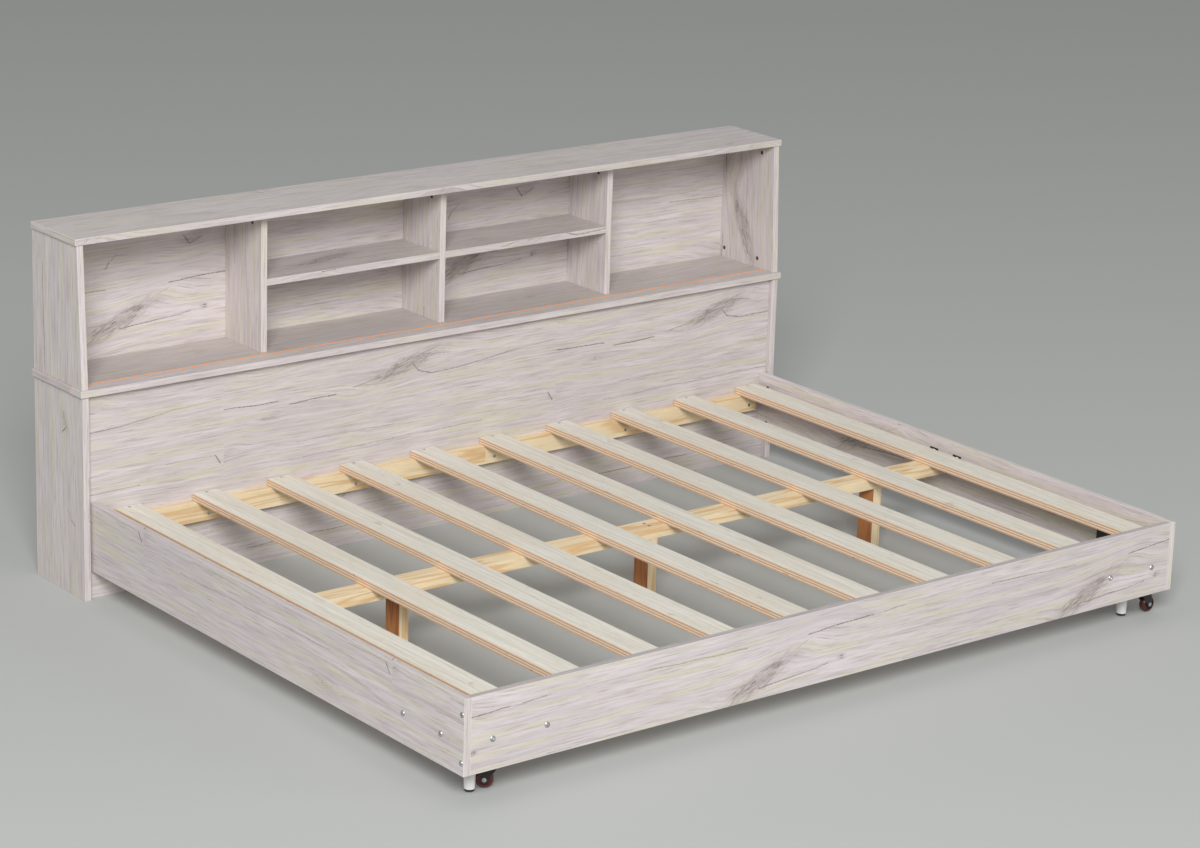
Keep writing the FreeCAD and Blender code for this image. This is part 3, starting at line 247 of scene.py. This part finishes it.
def make_stroke_group():
    """Group: how far a point of the print is from a straight stroke."""
    group = bpy.data.node_groups.new("stroke_distance", "ShaderNodeTree")
    for name in ("Point", "Start", "Run"):
        group.interface.new_socket(name, in_out="INPUT", socket_type="NodeSocketVector")
    group.interface.new_socket("Distance", in_out="OUTPUT", socket_type="NodeSocketFloat")
    tree = Tree(group)
    source = tree.add("NodeGroupInput")
    sink = tree.add("NodeGroupOutput")

    def vector_math(operation, *values):
        made = tree.add("ShaderNodeVectorMath", operation=operation)
        for socket, value in zip(made.inputs, values):
            tree.feed(socket, value)
        return made

    offset = vector_math("SUBTRACT", source.outputs["Point"], source.outputs["Start"]).outputs[0]
    run = source.outputs["Run"]
    along = vector_math("DOT_PRODUCT", offset, run).outputs["Value"]
    square = vector_math("DOT_PRODUCT", run, run).outputs["Value"]
    share = tree.math("DIVIDE", along, square)
    held = tree.add("ShaderNodeClamp")
    tree.feed(held.inputs["Value"], share)
    scaled = vector_math("SCALE", run)
    tree.feed(scaled.inputs["Scale"], held.outputs[0])
    nearest = vector_math("SUBTRACT", offset, scaled.outputs[0]).outputs[0]
    tree.feed(sink.inputs[0], vector_math("LENGTH", nearest).outputs["Value"])
    return group


def make_oak_group():
    """Group: colour, height and roughness of the print at (Along, Across)."""
    group = bpy.data.node_groups.new("oak_print", "ShaderNodeTree")
    for name in ("Along", "Across"):
        group.interface.new_socket(name, in_out="INPUT", socket_type="NodeSocketFloat")
    group.interface.new_socket("Color", in_out="OUTPUT", socket_type="NodeSocketColor")
    group.interface.new_socket("Height", in_out="OUTPUT", socket_type="NodeSocketFloat")
    group.interface.new_socket("Roughness", in_out="OUTPUT", socket_type="NodeSocketFloat")
    tree = Tree(group)
    source = tree.add("NodeGroupInput")
    sink = tree.add("NodeGroupOutput")
    along, across = source.outputs["Along"], source.outputs["Across"]

    # Where the point falls in one repeat, shaken a little so that strokes look torn.
    shake = tree.math("SUBTRACT", tree.scaled_noise((along, across), (70, 260), 3.0), 0.5)
    drift_place = tree.vector(tree.math("MULTIPLY", along, 9), 0.0, 8.0)
    drift = tree.math("SUBTRACT", tree.noise(drift_place, 1.0, 2.0), 0.5)
    repeat_along = tree.math("FLOORED_MODULO", along, PRINT_LENGTH)
    repeat_across = tree.math("FLOORED_MODULO", across, PRINT_WIDTH)
    shaken = tree.total([repeat_across, tree.math("MULTIPLY", shake, STROKE_SHAKE),
                         tree.math("MULTIPLY", drift, STROKE_DRIFT)])
    point = tree.vector(repeat_along, shaken, 0.0)

    # Grain bends round each knot; a large one is a torn, slanting bundle of dark streaks.
    pushes, halos, cores = [], [], []
    fleck_noise = tree.scaled_noise((along, across), (90, 420), 5.0, 3.0, 0.6)
    for (centre_along, centre_across), reach_along, reach_across, tilt, darkness in KNOTS:
        turn = math.radians(tilt)
        off_along = tree.math("SUBTRACT", repeat_along, centre_along)
        off_across = tree.math("SUBTRACT", shaken, centre_across)
        main = tree.math("ADD",
                         tree.math("MULTIPLY", off_along, math.cos(turn) / reach_along),
                         tree.math("MULTIPLY", off_across, math.sin(turn) / reach_along))
        side = tree.math("SUBTRACT",
                         tree.math("MULTIPLY", off_across, math.cos(turn) / reach_across),
                         tree.math("MULTIPLY", off_along, math.sin(turn) / reach_across))
        # The squared distance from the knot's centre, 1 at its rim.
        spread = tree.math("ADD", tree.math("MULTIPLY", main, main),
                           tree.math("MULTIPLY", side, side))
        near = tree.math("EXPONENT", tree.math("MULTIPLY", spread, -GRAIN_BEND_FADE))
        pushes.append(tree.math("MULTIPLY", tree.math("MULTIPLY", off_across, near), -GRAIN_BEND))
        depth = tree.math("SQRT", spread)
        if reach_along > TORN_KNOT_REACH:
            torn = tree.scaled_noise((main, side), (2.4, 7.5), centre_along * 30, 5.0, 0.68, 0.5)
            raggedness = tree.math("MULTIPLY", tree.math("SUBTRACT", torn, 0.5), TORN_RAGGEDNESS)
            ragged = tree.math("ADD", depth, raggedness)
            body = tree.rise(ragged, 1.20, 0.10)
            halos.append(tree.math("MULTIPLY", tree.rise(ragged, 1.9, 0.5), TORN_HALO))
            core = tree.math("MULTIPLY", body, tree.rise(torn, 0.54, 0.42, 0.05, 0.75))
        else:
            halo = tree.rise(depth, 1.8, 0.4)
            halos.append(tree.math("MULTIPLY", halo, ROUND_HALO * darkness))
            core = tree.math("MULTIPLY", tree.rise(depth, 1.05, 0.25),
                             tree.rise(fleck_noise, 0.47, 0.60))
        cores.append(tree.math("MULTIPLY", core, darkness))
    pushed = tree.total([across] + pushes)

    # Strokes: hairline cracks and the torn lines beside knots.
    break_place = tree.vector(tree.math("MULTIPLY", along, 160), 0.0, 1.0)
    break_noise = tree.noise(break_place, 1.0, 2.0, 0.7)
    stroke_masks = []
    for start, end, half_width, strength in STROKES:
        stroke = tree.add("ShaderNodeGroup")
        stroke.node_tree = stroke_group
        tree.feed(stroke.inputs["Point"], point)
        stroke.inputs["Start"].default_value = (*start, 0.0)
        stroke.inputs["Run"].default_value = (end[0] - start[0], end[1] - start[1], 0.0)
        stroke_masks.append(tree.rise(stroke.outputs[0], half_width * STROKE_RIM,
                                      half_width * STROKE_CORE, 0.0, strength))
    strokes = tree.math("MULTIPLY", tree.highest(stroke_masks),
                        tree.rise(break_noise, 0.30, 0.55, 0.25, 1.0))

    # Growth lines, broad streaks, fibres and pores, all stretched along the grain.
    bent = (along, pushed)
    wander = tree.scaled_noise(bent, (0.9, 4.0), 2.0, 2.0, 0.45)
    growth_place = tree.math("ADD", tree.math("MULTIPLY", pushed, GROWTH_SCALE),
                             tree.math("MULTIPLY", wander, GROWTH_WANDER))
    growth = tree.rise(tree.math("PINGPONG", growth_place, 1.0), 0.72, 1.0)
    growth_zone = tree.rise(tree.scaled_noise(bent, (0.8, 7.0), 6.0, 1.0, 0.5), 0.50, 0.68)
    growth_mask = tree.math("MULTIPLY", tree.math("MULTIPLY", growth, growth_zone), GROWTH_DARKNESS)
    streak = tree.scaled_noise(bent, (1.5, 40.0), 4.0, 3.0, 0.55)
    mottle = tree.scaled_noise(bent, (7.0, 130.0), 21.0, 4.0, 0.62)
    warm = tree.scaled_noise(bent, (3.4, 58.0), 13.0, 3.0, 0.6)
    fine = tree.scaled_noise(bent, (11.0, 270.0), 9.0, 3.0, 0.65)
    pore = tree.scaled_noise(bent, (44.0, 700.0), 7.0, 2.0, 0.5)
    cloud = tree.scaled_noise((along, across), (2.4, 9.0), 11.0, 3.0, 0.6)
    dash = tree.scaled_noise(bent, (9.0, 170.0), 17.0, 2.0, 0.5)

    shade = tree.blend(tree.rise(streak, 0.30, 0.70), OAK_MIDDLE, OAK_LIGHT)
    for mask, tint in (
            (tree.rise(mottle, 0.60, 0.36, 0.0, 0.62), OAK_DEEP),
            (tree.rise(cloud, 0.62, 0.40, 0.0, 0.22), OAK_DEEP),
            (tree.rise(warm, 0.47, 0.64, 0.0, 0.72), OAK_YELLOW),
            (growth_mask, OAK_FIBRE),
            (tree.rise(fine, 0.50, 0.72, 0.0, 0.62), OAK_FIBRE),
            (tree.rise(fine, 0.47, 0.32, 0.0, 0.45), OAK_LIGHT),
            (tree.rise(pore, 0.62, 0.78, 0.0, 0.50), OAK_FIBRE),
            (tree.rise(dash, 0.66, 0.76, 0.0, 0.60), OAK_FIBRE),
            (tree.highest(halos), OAK_FIBRE),
            (tree.highest(cores), OAK_CRACK),
            (strokes, OAK_CRACK)):
        shade = tree.blend(mask, shade, tint)
    tree.feed(sink.inputs["Color"], shade)
    dents = tree.total([strokes, tree.math("MULTIPLY", tree.rise(pore, 0.62, 0.78), 0.6),
                        tree.math("MULTIPLY", tree.rise(fine, 0.50, 0.74), 0.35)])
    tree.feed(sink.inputs["Height"], tree.math("SUBTRACT", 1.0, dents))
    tree.feed(sink.inputs["Roughness"], tree.rise(fine, 0.3, 0.7, 0.44, 0.58))
    return group


def oak(name, grain, normal, start, flip=False, edge_tone=1.04, tone=1.0):
    """Oak laminate for one board; returns the material, its tree, its shader and the final colour.

    `grain` is the axis that the grain runs along and `normal` the one square to the faces.
    `start` is the place on the print of the bed's origin; `flip` runs the print backwards.
    `tone` brightens the whole board and `edge_tone` its edges and ends on top of that; both are
    painted light and shade, set for how brightly each board and its edges stand lit.
    """
    material, tree, shader = new_material(name, 0.5, specular=0.35)
    place, facing = tree.inside()
    grain_index, normal_index = "XYZ".index(grain), "XYZ".index(normal)
    cross_index = 3 - grain_index - normal_index
    spots, facings = tree.parts(place), tree.parts(facing)
    sizes = [tree.math("ABSOLUTE", value) for value in facings]
    on_end = tree.math("GREATER_THAN", sizes[grain_index], FACING_AXIS)
    on_edge = tree.math("GREATER_THAN", sizes[cross_index], FACING_AXIS)
    on_side = tree.math("MAXIMUM", on_edge, on_end)
    sign = -1.0 if flip else 1.0
    lengthwise = tree.math("MULTIPLY_ADD", spots[grain_index], sign, start[0])
    crosswise = tree.math("ADD", spots[cross_index], start[1])
    thickwise = tree.math("ADD", spots[normal_index], start[1] + EDGE_PRINT_OFFSET)
    along = tree.choose(on_end, lengthwise, crosswise)
    across = tree.choose(on_side, crosswise, thickwise)
    decor = tree.add("ShaderNodeGroup")
    decor.node_tree = oak_group
    tree.feed(decor.inputs["Along"], along)
    tree.feed(decor.inputs["Across"], across)
    shade = decor.outputs["Color"]
    # The rounded arrises are painted lighter, towards the print's light colour, in patches.
    flat = tree.highest(sizes)
    arris = tree.rise(flat, 0.995, 0.93)
    arris_patches = tree.noise(place, 60.0, 3.0, 0.6)
    # Painted light and shade: the board's tone and its edges' tone stand in for how brightly each
    # is lit.
    value = tree.choose(on_side, tone, edge_tone * tone)
    bright = tree.add("ShaderNodeHueSaturation")
    tree.feed(bright.inputs["Value"], value)
    tree.feed(bright.inputs["Color"], shade)
    shade = tree.blend(tree.math("MULTIPLY", arris, tree.rise(arris_patches, 0.3, 0.6, 0.35, 0.9)),
                       bright.outputs[0], OAK_LIGHT)
    tree.feed(shader.inputs["Base Color"], shade)
    tree.feed(shader.inputs["Roughness"], decor.outputs["Roughness"])
    add_bump(tree, shader, decor.outputs["Height"], PRINT_EMBOSSING)
    return material, tree, shader, shade


stroke_group = make_stroke_group()
oak_group = make_oak_group()


def paint_boards():
    """Cut each oak board from its own place on the print."""
    # The tone and edge_tone given to each board are painted light and shade, set for how brightly
    # each board and its edges stand lit.
    paint(oak("oak_front_panel", "X", "Y", (0.632, 0.017))[0], "front_panel")
    paint(oak("oak_upper_back", "X", "Y", (1.085, 0.016), tone=1.05)[0], "upper_back_panel")
    paint(oak("oak_lower_back", "X", "Y", (0.20, 0.12), tone=0.97)[0], "lower_back_panel")
    paint(oak("oak_top_panel", "X", "Z", (0.41, 0.36), tone=0.95)[0], "top_panel")
    for name, start in (("shelf_left", (0.77, 0.55)), ("shelf_right", (0.18, 0.30))):
        paint(oak(f"oak_{name}", "X", "Z", start, tone=0.92, edge_tone=1.09)[0], name)
    paint(oak("oak_foot_rail", "X", "Y", (0.539, 0.475), edge_tone=0.80)[0], "foot_rail")
    paint(oak("oak_side_rail_left", "Y", "X", (1.318, 0.079), flip=True, edge_tone=0.98)[0],
          "side_rail_left")
    paint(oak("oak_side_rail_right", "Y", "X", (0.52, 0.43), flip=True, tone=1.06)[0],
          "side_rail_right")
    paint(oak("oak_lower_end_left", "Z", "X", (0.10, 0.93))[0], "lower_end_left")
    paint(oak("oak_lower_end_right", "Z", "X", (0.55, 0.62))[0], "lower_end_right")
    paint(oak("oak_upper_end_left", "Z", "X", (0.62, 1.02))[0], "upper_end_left")
    paint(oak("oak_upper_end_right", "Z", "X", (0.66, 0.72))[0], "upper_end_right")
    for name, start in (("left", (0.28, 0.76)), ("centre", (0.85, 0.21)), ("right", (0.50, 1.16))):
        paint(oak(f"oak_divider_{name}", "Z", "X", start, tone=1.06)[0], f"divider_{name}")
    paint(oak("oak_partitions", "Z", "X", (0.3, 0.5))[0], "lower_partitions")


GROOVE_SETBACK = 0.043
GROOVE_WIDTH = 0.005
GROOVE_MARGIN = 0.0004  # how far past the groove's walls its colour reaches
RAW_DEPTH = 0.0045  # just past the groove's floor
LAMINATE = 0.0002  # thickness of the upper face's laminate


def paint_mid_board():
    """The mid board is laminate outside; its routed groove shows the raw orange core, and the bays'
    floor has painted shade.
    """
    material, tree, shader, shade = oak("oak_mid_board", "X", "Z", (0.95, 0.27), edge_tone=1.03)
    low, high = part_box("mid_board")
    place, _ = tree.inside()
    _, y, z = tree.parts(place)
    groove_front = low.y + GROOVE_SETBACK
    groove_back = groove_front + GROOVE_WIDTH
    within = tree.math("MULTIPLY", tree.math("GREATER_THAN", y, groove_front - GROOVE_MARGIN),
                       tree.math("LESS_THAN", y, groove_back + GROOVE_MARGIN))
    under = tree.math("MULTIPLY", tree.math("LESS_THAN", z, high.z - LAMINATE),
                      tree.math("GREATER_THAN", z, high.z - RAW_DEPTH))
    raw = tree.math("MULTIPLY", within, under)
    crumbs = tree.noise(place, 900.0, 3.0, 0.7)
    core = tree.blend(tree.rise(crumbs, 0.35, 0.65), colour(240, 140, 36), colour(255, 190, 84))
    # Painted shade: the bays' floor, past the groove, is painted a little darker than the strip in
    # front of it, for the shade of the bays.
    bay_shade_mask = tree.rise(y, groove_back, groove_back + 0.004, 0.0, 0.22)
    bay_floor_with_shade = tree.blend(bay_shade_mask, shade, colour(150, 138, 128))
    tree.feed(shader.inputs["Base Color"], tree.blend(raw, bay_floor_with_shade, core))
    paint(material, "mid_board")


# ---------------------------------------------------------------- raw wood

SLAT_COUNT = 10
SLAT_PLIES = 6.0
VENEER_RELIEF = 0.0002
PINE_RELIEF = 0.00015


def slat_ply(name, seed):
    """Plywood slat: pale face veneer with fine grain, and striped plies on its edges."""
    material, tree, shader = new_material(name, 0.62, specular=0.3)
    place, facing = tree.inside()
    x, y, z = tree.parts(place)
    sizes = [tree.math("ABSOLUTE", value) for value in tree.parts(facing)]
    low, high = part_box(name)
    thickness = high.z - low.z
    grain = tree.scaled_noise((x, y), (130, 4.0), seed, 4.0, 0.6)
    fibre = tree.scaled_noise((x, y), (900, 26), seed + 3)
    cloud = tree.scaled_noise((x, y), (9, 3.2), seed + 7, 3.0, 0.6)
    smudge = tree.scaled_noise((x, y), (30, 11), seed + 9, 4.0, 0.7)
    face = tree.blend(tree.rise(grain, 0.3, 0.7), colour(219, 213, 199), colour(237, 233, 223))
    face = tree.blend(tree.rise(cloud, 0.45, 0.75, 0.0, 0.5), face, colour(230, 221, 202))
    face = tree.blend(tree.rise(fibre, 0.52, 0.78, 0.0, 0.45), face, colour(184, 168, 144))
    face = tree.blend(tree.rise(smudge, 0.62, 0.74, 0.0, 0.5), face, colour(160, 152, 138))

    depth = tree.math("DIVIDE", tree.math("SUBTRACT", z, low.z), thickness)
    wobble = tree.scaled_noise((y, x), (5.0, 3.0), seed + 1)
    level = tree.math("ADD", tree.math("MULTIPLY", depth, SLAT_PLIES),
                      tree.math("MULTIPLY", wobble, 0.4))
    ply = tree.math("PINGPONG", tree.math("ADD", level, 0.1), 1.0)
    stripe = tree.rise(ply, 0.35, 0.62)
    edge_grain = tree.scaled_noise((y, z), (60, 900), seed + 5, 3.0, 0.65)
    edge = tree.blend(stripe, colour(243, 222, 196), colour(208, 172, 142))
    edge = tree.blend(tree.rise(edge_grain, 0.5, 0.75, 0.0, 0.4), edge, colour(188, 134, 96))
    gaps = tree.scaled_noise((y, z), (24, 420), seed + 8, 1.0)
    edge = tree.blend(tree.rise(gaps, 0.74, 0.79), edge, colour(84, 52, 36))
    shade = tree.blend(tree.rise(sizes[2], 0.5, 0.9), edge, face)
    arris = tree.rise(tree.highest(sizes), 0.995, 0.90, 0.0, 0.45)
    tree.feed(shader.inputs["Base Color"], tree.blend(arris, shade, colour(212, 164, 118)))
    height = tree.math("SUBTRACT", 1.0, tree.total([
        tree.rise(fibre, 0.55, 0.8), tree.math("MULTIPLY", tree.rise(edge_grain, 0.5, 0.75), 0.8)]))
    add_bump(tree, shader, height, VENEER_RELIEF)
    return material


def pine(name, grain, seed, side_axis=None):
    """Planed pine: yellow early wood, orange late wood lines and small brown knots.

    The faces square to `side_axis`, if there is one, are a richer brown: partly the side grain's
    own colour and partly painted shade.
    """
    material, tree, shader = new_material(name, 0.55, specular=0.35)
    place, facing = tree.inside()
    spots = tree.parts(place)
    sizes = [tree.math("ABSOLUTE", value) for value in tree.parts(facing)]
    grain_index = "XYZ".index(grain)
    others = [index for index in range(3) if index != grain_index]
    lengthwise = spots[grain_index]
    stretched = tree.vector(tree.math("MULTIPLY", lengthwise, 1.6),
                            tree.math("MULTIPLY", spots[others[0]], 22),
                            tree.math("MULTIPLY", spots[others[1]], 22))
    moved = tree.add("ShaderNodeVectorMath", operation="ADD")
    tree.feed(moved.inputs[0], stretched)
    moved.inputs[1].default_value = (seed * 3.1, seed * 1.7, seed * 2.3)
    wander = tree.noise(moved.outputs[0], 1.0, 2.0, 0.45)
    rings = tree.math("PINGPONG", tree.math("MULTIPLY", wander, 17.0), 1.0)
    fibre = tree.noise(tree.vector(tree.math("MULTIPLY", lengthwise, 24),
                                   tree.math("MULTIPLY", spots[others[0]], 700),
                                   tree.math("MULTIPLY", spots[others[1]], 700)), 1.0, 2.0)
    cloud = tree.noise(moved.outputs[0], 0.4, 2.0)
    shade = tree.blend(tree.rise(rings, 0.45, 0.95), colour(240, 222, 186), colour(224, 188, 140))
    shade = tree.blend(tree.rise(cloud, 0.4, 0.7, 0.0, 0.4), shade, colour(232, 204, 160))
    shade = tree.blend(tree.rise(fibre, 0.5, 0.75, 0.0, 0.3), shade, colour(200, 156, 106))
    knot = tree.noise(moved.outputs[0], 0.9, 1.0)
    shade = tree.blend(tree.rise(knot, 0.735, 0.79, 0.0, 0.85), shade, colour(122, 70, 38))
    # Partly painted shade: faces square to side_axis are tinted brown for their side grain and for
    # the shade they stand in.
    if side_axis is not None:
        side = tree.rise(sizes["XYZ".index(side_axis)], 0.5, 0.9)
        grain_and_shade_brown = tree.blend(1.0, shade, colour(196, 146, 112), mode="MULTIPLY")
        shade = tree.blend(side, shade, grain_and_shade_brown)
    tree.feed(shader.inputs["Base Color"], shade)
    add_bump(tree, shader, tree.math("SUBTRACT", 1.0, tree.rise(fibre, 0.5, 0.75)), PINE_RELIEF)
    return material


def paint_raw_wood():
    """Plywood on the slats, pine on the ledgers, the beam and its legs."""
    for index in range(1, SLAT_COUNT + 1):
        name = f"slat_{index:02d}"
        paint(slat_ply(name, index * 4.7), name)
    paint(pine("pine_head_ledger_left", "X", 1.0), "head_ledger_left")
    paint(pine("pine_head_ledger_right", "X", 2.0), "head_ledger_right")
    paint(pine("pine_foot_ledger", "X", 3.0), "foot_ledger")
    paint(pine("pine_beam", "X", 4.0), "centre_beam")
    for index in (1, 2, 3):
        paint(pine(f"pine_leg_{index}", "Z", 4.0 + index, side_axis="X"), f"beam_leg_{index}")


# ---------------------------------------------------------------- metal and plastic

def metal(name, shade, roughness, wear_shade, scale):
    """Bare or plated metal with faint cloudy tarnish."""
    material, tree, shader = new_material(name, roughness, metallic=1.0)
    place, _ = tree.inside()
    cloud = tree.noise(place, scale, 3.0, 0.6)
    tarnish = tree.rise(cloud, 0.35, 0.7)
    tree.feed(shader.inputs["Base Color"], tree.blend(tarnish, shade, wear_shade))
    tree.feed(shader.inputs["Roughness"], tree.rise(cloud, 0.3, 0.7, roughness, roughness + 0.12))
    return material


def moulded(name, shade, second, roughness, scale, bump, specular=0.5):
    """Paint, plastic or rubber with a fine even texture and a slight drift of tone."""
    material, tree, shader = new_material(name, roughness, specular=specular)
    place, _ = tree.inside()
    cloud = tree.noise(place, 14.0, 2.0)
    tree.feed(shader.inputs["Base Color"], tree.blend(tree.rise(cloud, 0.35, 0.7), shade, second))
    speckle = tree.noise(place, scale, 2.0)
    add_bump(tree, shader, speckle, bump)
    return material


def paint_fittings():
    """Screws, bolts, cams, brackets, hangers, feet and casters."""
    zinc = metal("zinc_steel", colour(206, 206, 208), 0.34, colour(172, 171, 172), 90.0)
    cam = metal("cam_metal", colour(120, 112, 104), 0.42, colour(84, 78, 72), 160.0)
    black = moulded("black_steel", colour(34, 33, 33), colour(46, 44, 43),
                    0.42, 1400.0, 0.00008)
    wheel = moulded("wheel_plastic", colour(86, 42, 35), colour(66, 32, 28),
                    0.30, 700.0, 0.00004)
    white = moulded("white_plastic", colour(240, 240, 238), colour(230, 230, 228),
                    0.38, 900.0, 0.00004)
    rubber = moulded("dark_rubber", colour(52, 54, 54), colour(40, 42, 42),
                     0.75, 1100.0, 0.0001, specular=0.3)
    paint(zinc, "bracket_bolts", "corner_screws", "wood_screws", "leg_screws", "hanger_screws",
          "cam_dowels", "shelf_pins")
    paint(cam, "cam_locks")
    paint(black, "beam_hangers")
    for side in ("left", "right"):
        paint(black, f"corner_bracket_{side}", f"caster_plate_{side}", f"caster_fork_{side}")
        paint(zinc, f"caster_axle_{side}", f"foot_stem_{side}")
        paint(wheel, f"caster_wheel_{side}")
        paint(white, f"foot_cup_{side}")
        paint(rubber, f"foot_pad_{side}")


# ---------------------------------------------------------------- floor, light and camera

# The camera was fitted to the photograph: how far it looks round, down and tilted.
# LENS and SENSOR_WIDTH are in millimetres, SHIFT in widths of the picture.
VIEW_AZIMUTH = math.radians(38.28)
VIEW_DROP = math.radians(16.69)
VIEW_ROLL = math.radians(1.79)
CAMERA_PLACE = Vector((-4.60372, -5.75640, 2.64666))
LENS = 103.726
SENSOR_WIDTH = 36.0
SHIFT = (0.00846, -0.01213)
# Square lamps: name, place, side length, power in watts.
LAMPS = [
    ("key", (-6.31, -7.99, 6.66), 4.2, 1250.0),
    ("right_fill", (5.5, -8.5, 4.5), 4.0, 100.0),
]
LAMP_TARGET = Vector((0.0, 0.0, 0.3))
AMBIENT_STRENGTH = 0.34
FLOOR_COLOUR = colour(192, 194, 192)
BACKGROUND_COLOUR = colour(186, 188, 186)
FLOOR_HALF_WIDTH = 30.0


def view_axes():
    """The camera's forward, right and up directions."""
    forward = Vector((math.sin(VIEW_AZIMUTH) * math.cos(VIEW_DROP),
                      math.cos(VIEW_AZIMUTH) * math.cos(VIEW_DROP), -math.sin(VIEW_DROP)))
    level = Vector((math.cos(VIEW_AZIMUTH), -math.sin(VIEW_AZIMUTH), 0.0))
    upright = level.cross(forward)
    right = math.cos(VIEW_ROLL) * level + math.sin(VIEW_ROLL) * upright
    up = -math.sin(VIEW_ROLL) * level + math.cos(VIEW_ROLL) * upright
    return forward, right, up


def make_camera():
    """A camera that sees the bed as the photograph does."""
    forward, right, up = view_axes()
    data = bpy.data.cameras.new("camera")
    data.sensor_fit = "HORIZONTAL"
    data.sensor_width = SENSOR_WIDTH
    data.lens = LENS
    data.shift_x, data.shift_y = SHIFT
    camera = bpy.data.objects.new("camera", data)
    bpy.context.scene.collection.objects.link(camera)
    turn = Matrix((right, up, -forward)).transposed()
    camera.matrix_world = Matrix.Translation(CAMERA_PLACE) @ turn.to_4x4()
    bpy.context.scene.camera = camera


def make_floor():
    """A plain pale floor."""
    half = FLOOR_HALF_WIDTH
    mesh = bpy.data.meshes.new("floor")
    corners = [(-half, -half, 0), (half, -half, 0), (half, half, 0), (-half, half, 0)]
    mesh.from_pydata(corners, [], [(0, 1, 2, 3)])
    floor = bpy.data.objects.new("floor", mesh)
    bpy.context.scene.collection.objects.link(floor)
    material, _, shader = new_material("floor_grey", 0.9, specular=0.1)
    shader.inputs["Base Color"].default_value = FLOOR_COLOUR
    mesh.materials.append(material)


def make_light():
    """Even light from all round, and the lamps. The camera and shiny surfaces see plain grey."""
    world = bpy.data.worlds.new("studio")
    bpy.context.scene.world = world
    world.use_nodes = True
    tree = Tree(world.node_tree)
    output = world.node_tree.nodes["World Output"]
    ambient = world.node_tree.nodes["Background"]
    ambient.inputs["Color"].default_value = (1.0, 1.0, 1.0, 1.0)
    ambient.inputs["Strength"].default_value = AMBIENT_STRENGTH
    seen = tree.add("ShaderNodeBackground")
    seen.inputs["Color"].default_value = BACKGROUND_COLOUR
    path = tree.add("ShaderNodeLightPath")
    rays = tree.highest([path.outputs["Is Camera Ray"], path.outputs["Is Glossy Ray"],
                         path.outputs["Is Transmission Ray"]])
    mix = tree.add("ShaderNodeMixShader")
    tree.feed(mix.inputs[0], rays)
    tree.feed(mix.inputs[1], ambient.outputs[0])
    tree.feed(mix.inputs[2], seen.outputs[0])
    tree.feed(output.inputs["Surface"], mix.outputs[0])

    for name, place, size, power in LAMPS:
        data = bpy.data.lights.new(name, "AREA")
        data.size = size
        data.energy = power
        lamp = bpy.data.objects.new(name, data)
        bpy.context.scene.collection.objects.link(lamp)
        lamp.location = place
        lamp.rotation_mode = "QUATERNION"
        lamp.rotation_quaternion = (LAMP_TARGET - Vector(place)).to_track_quat("-Z", "Y")


paint_boards()
paint_mid_board()
paint_raw_wood()
paint_fittings()
make_camera()
make_floor()
make_light()
bpy.context.scene.view_settings.view_transform = "Standard"
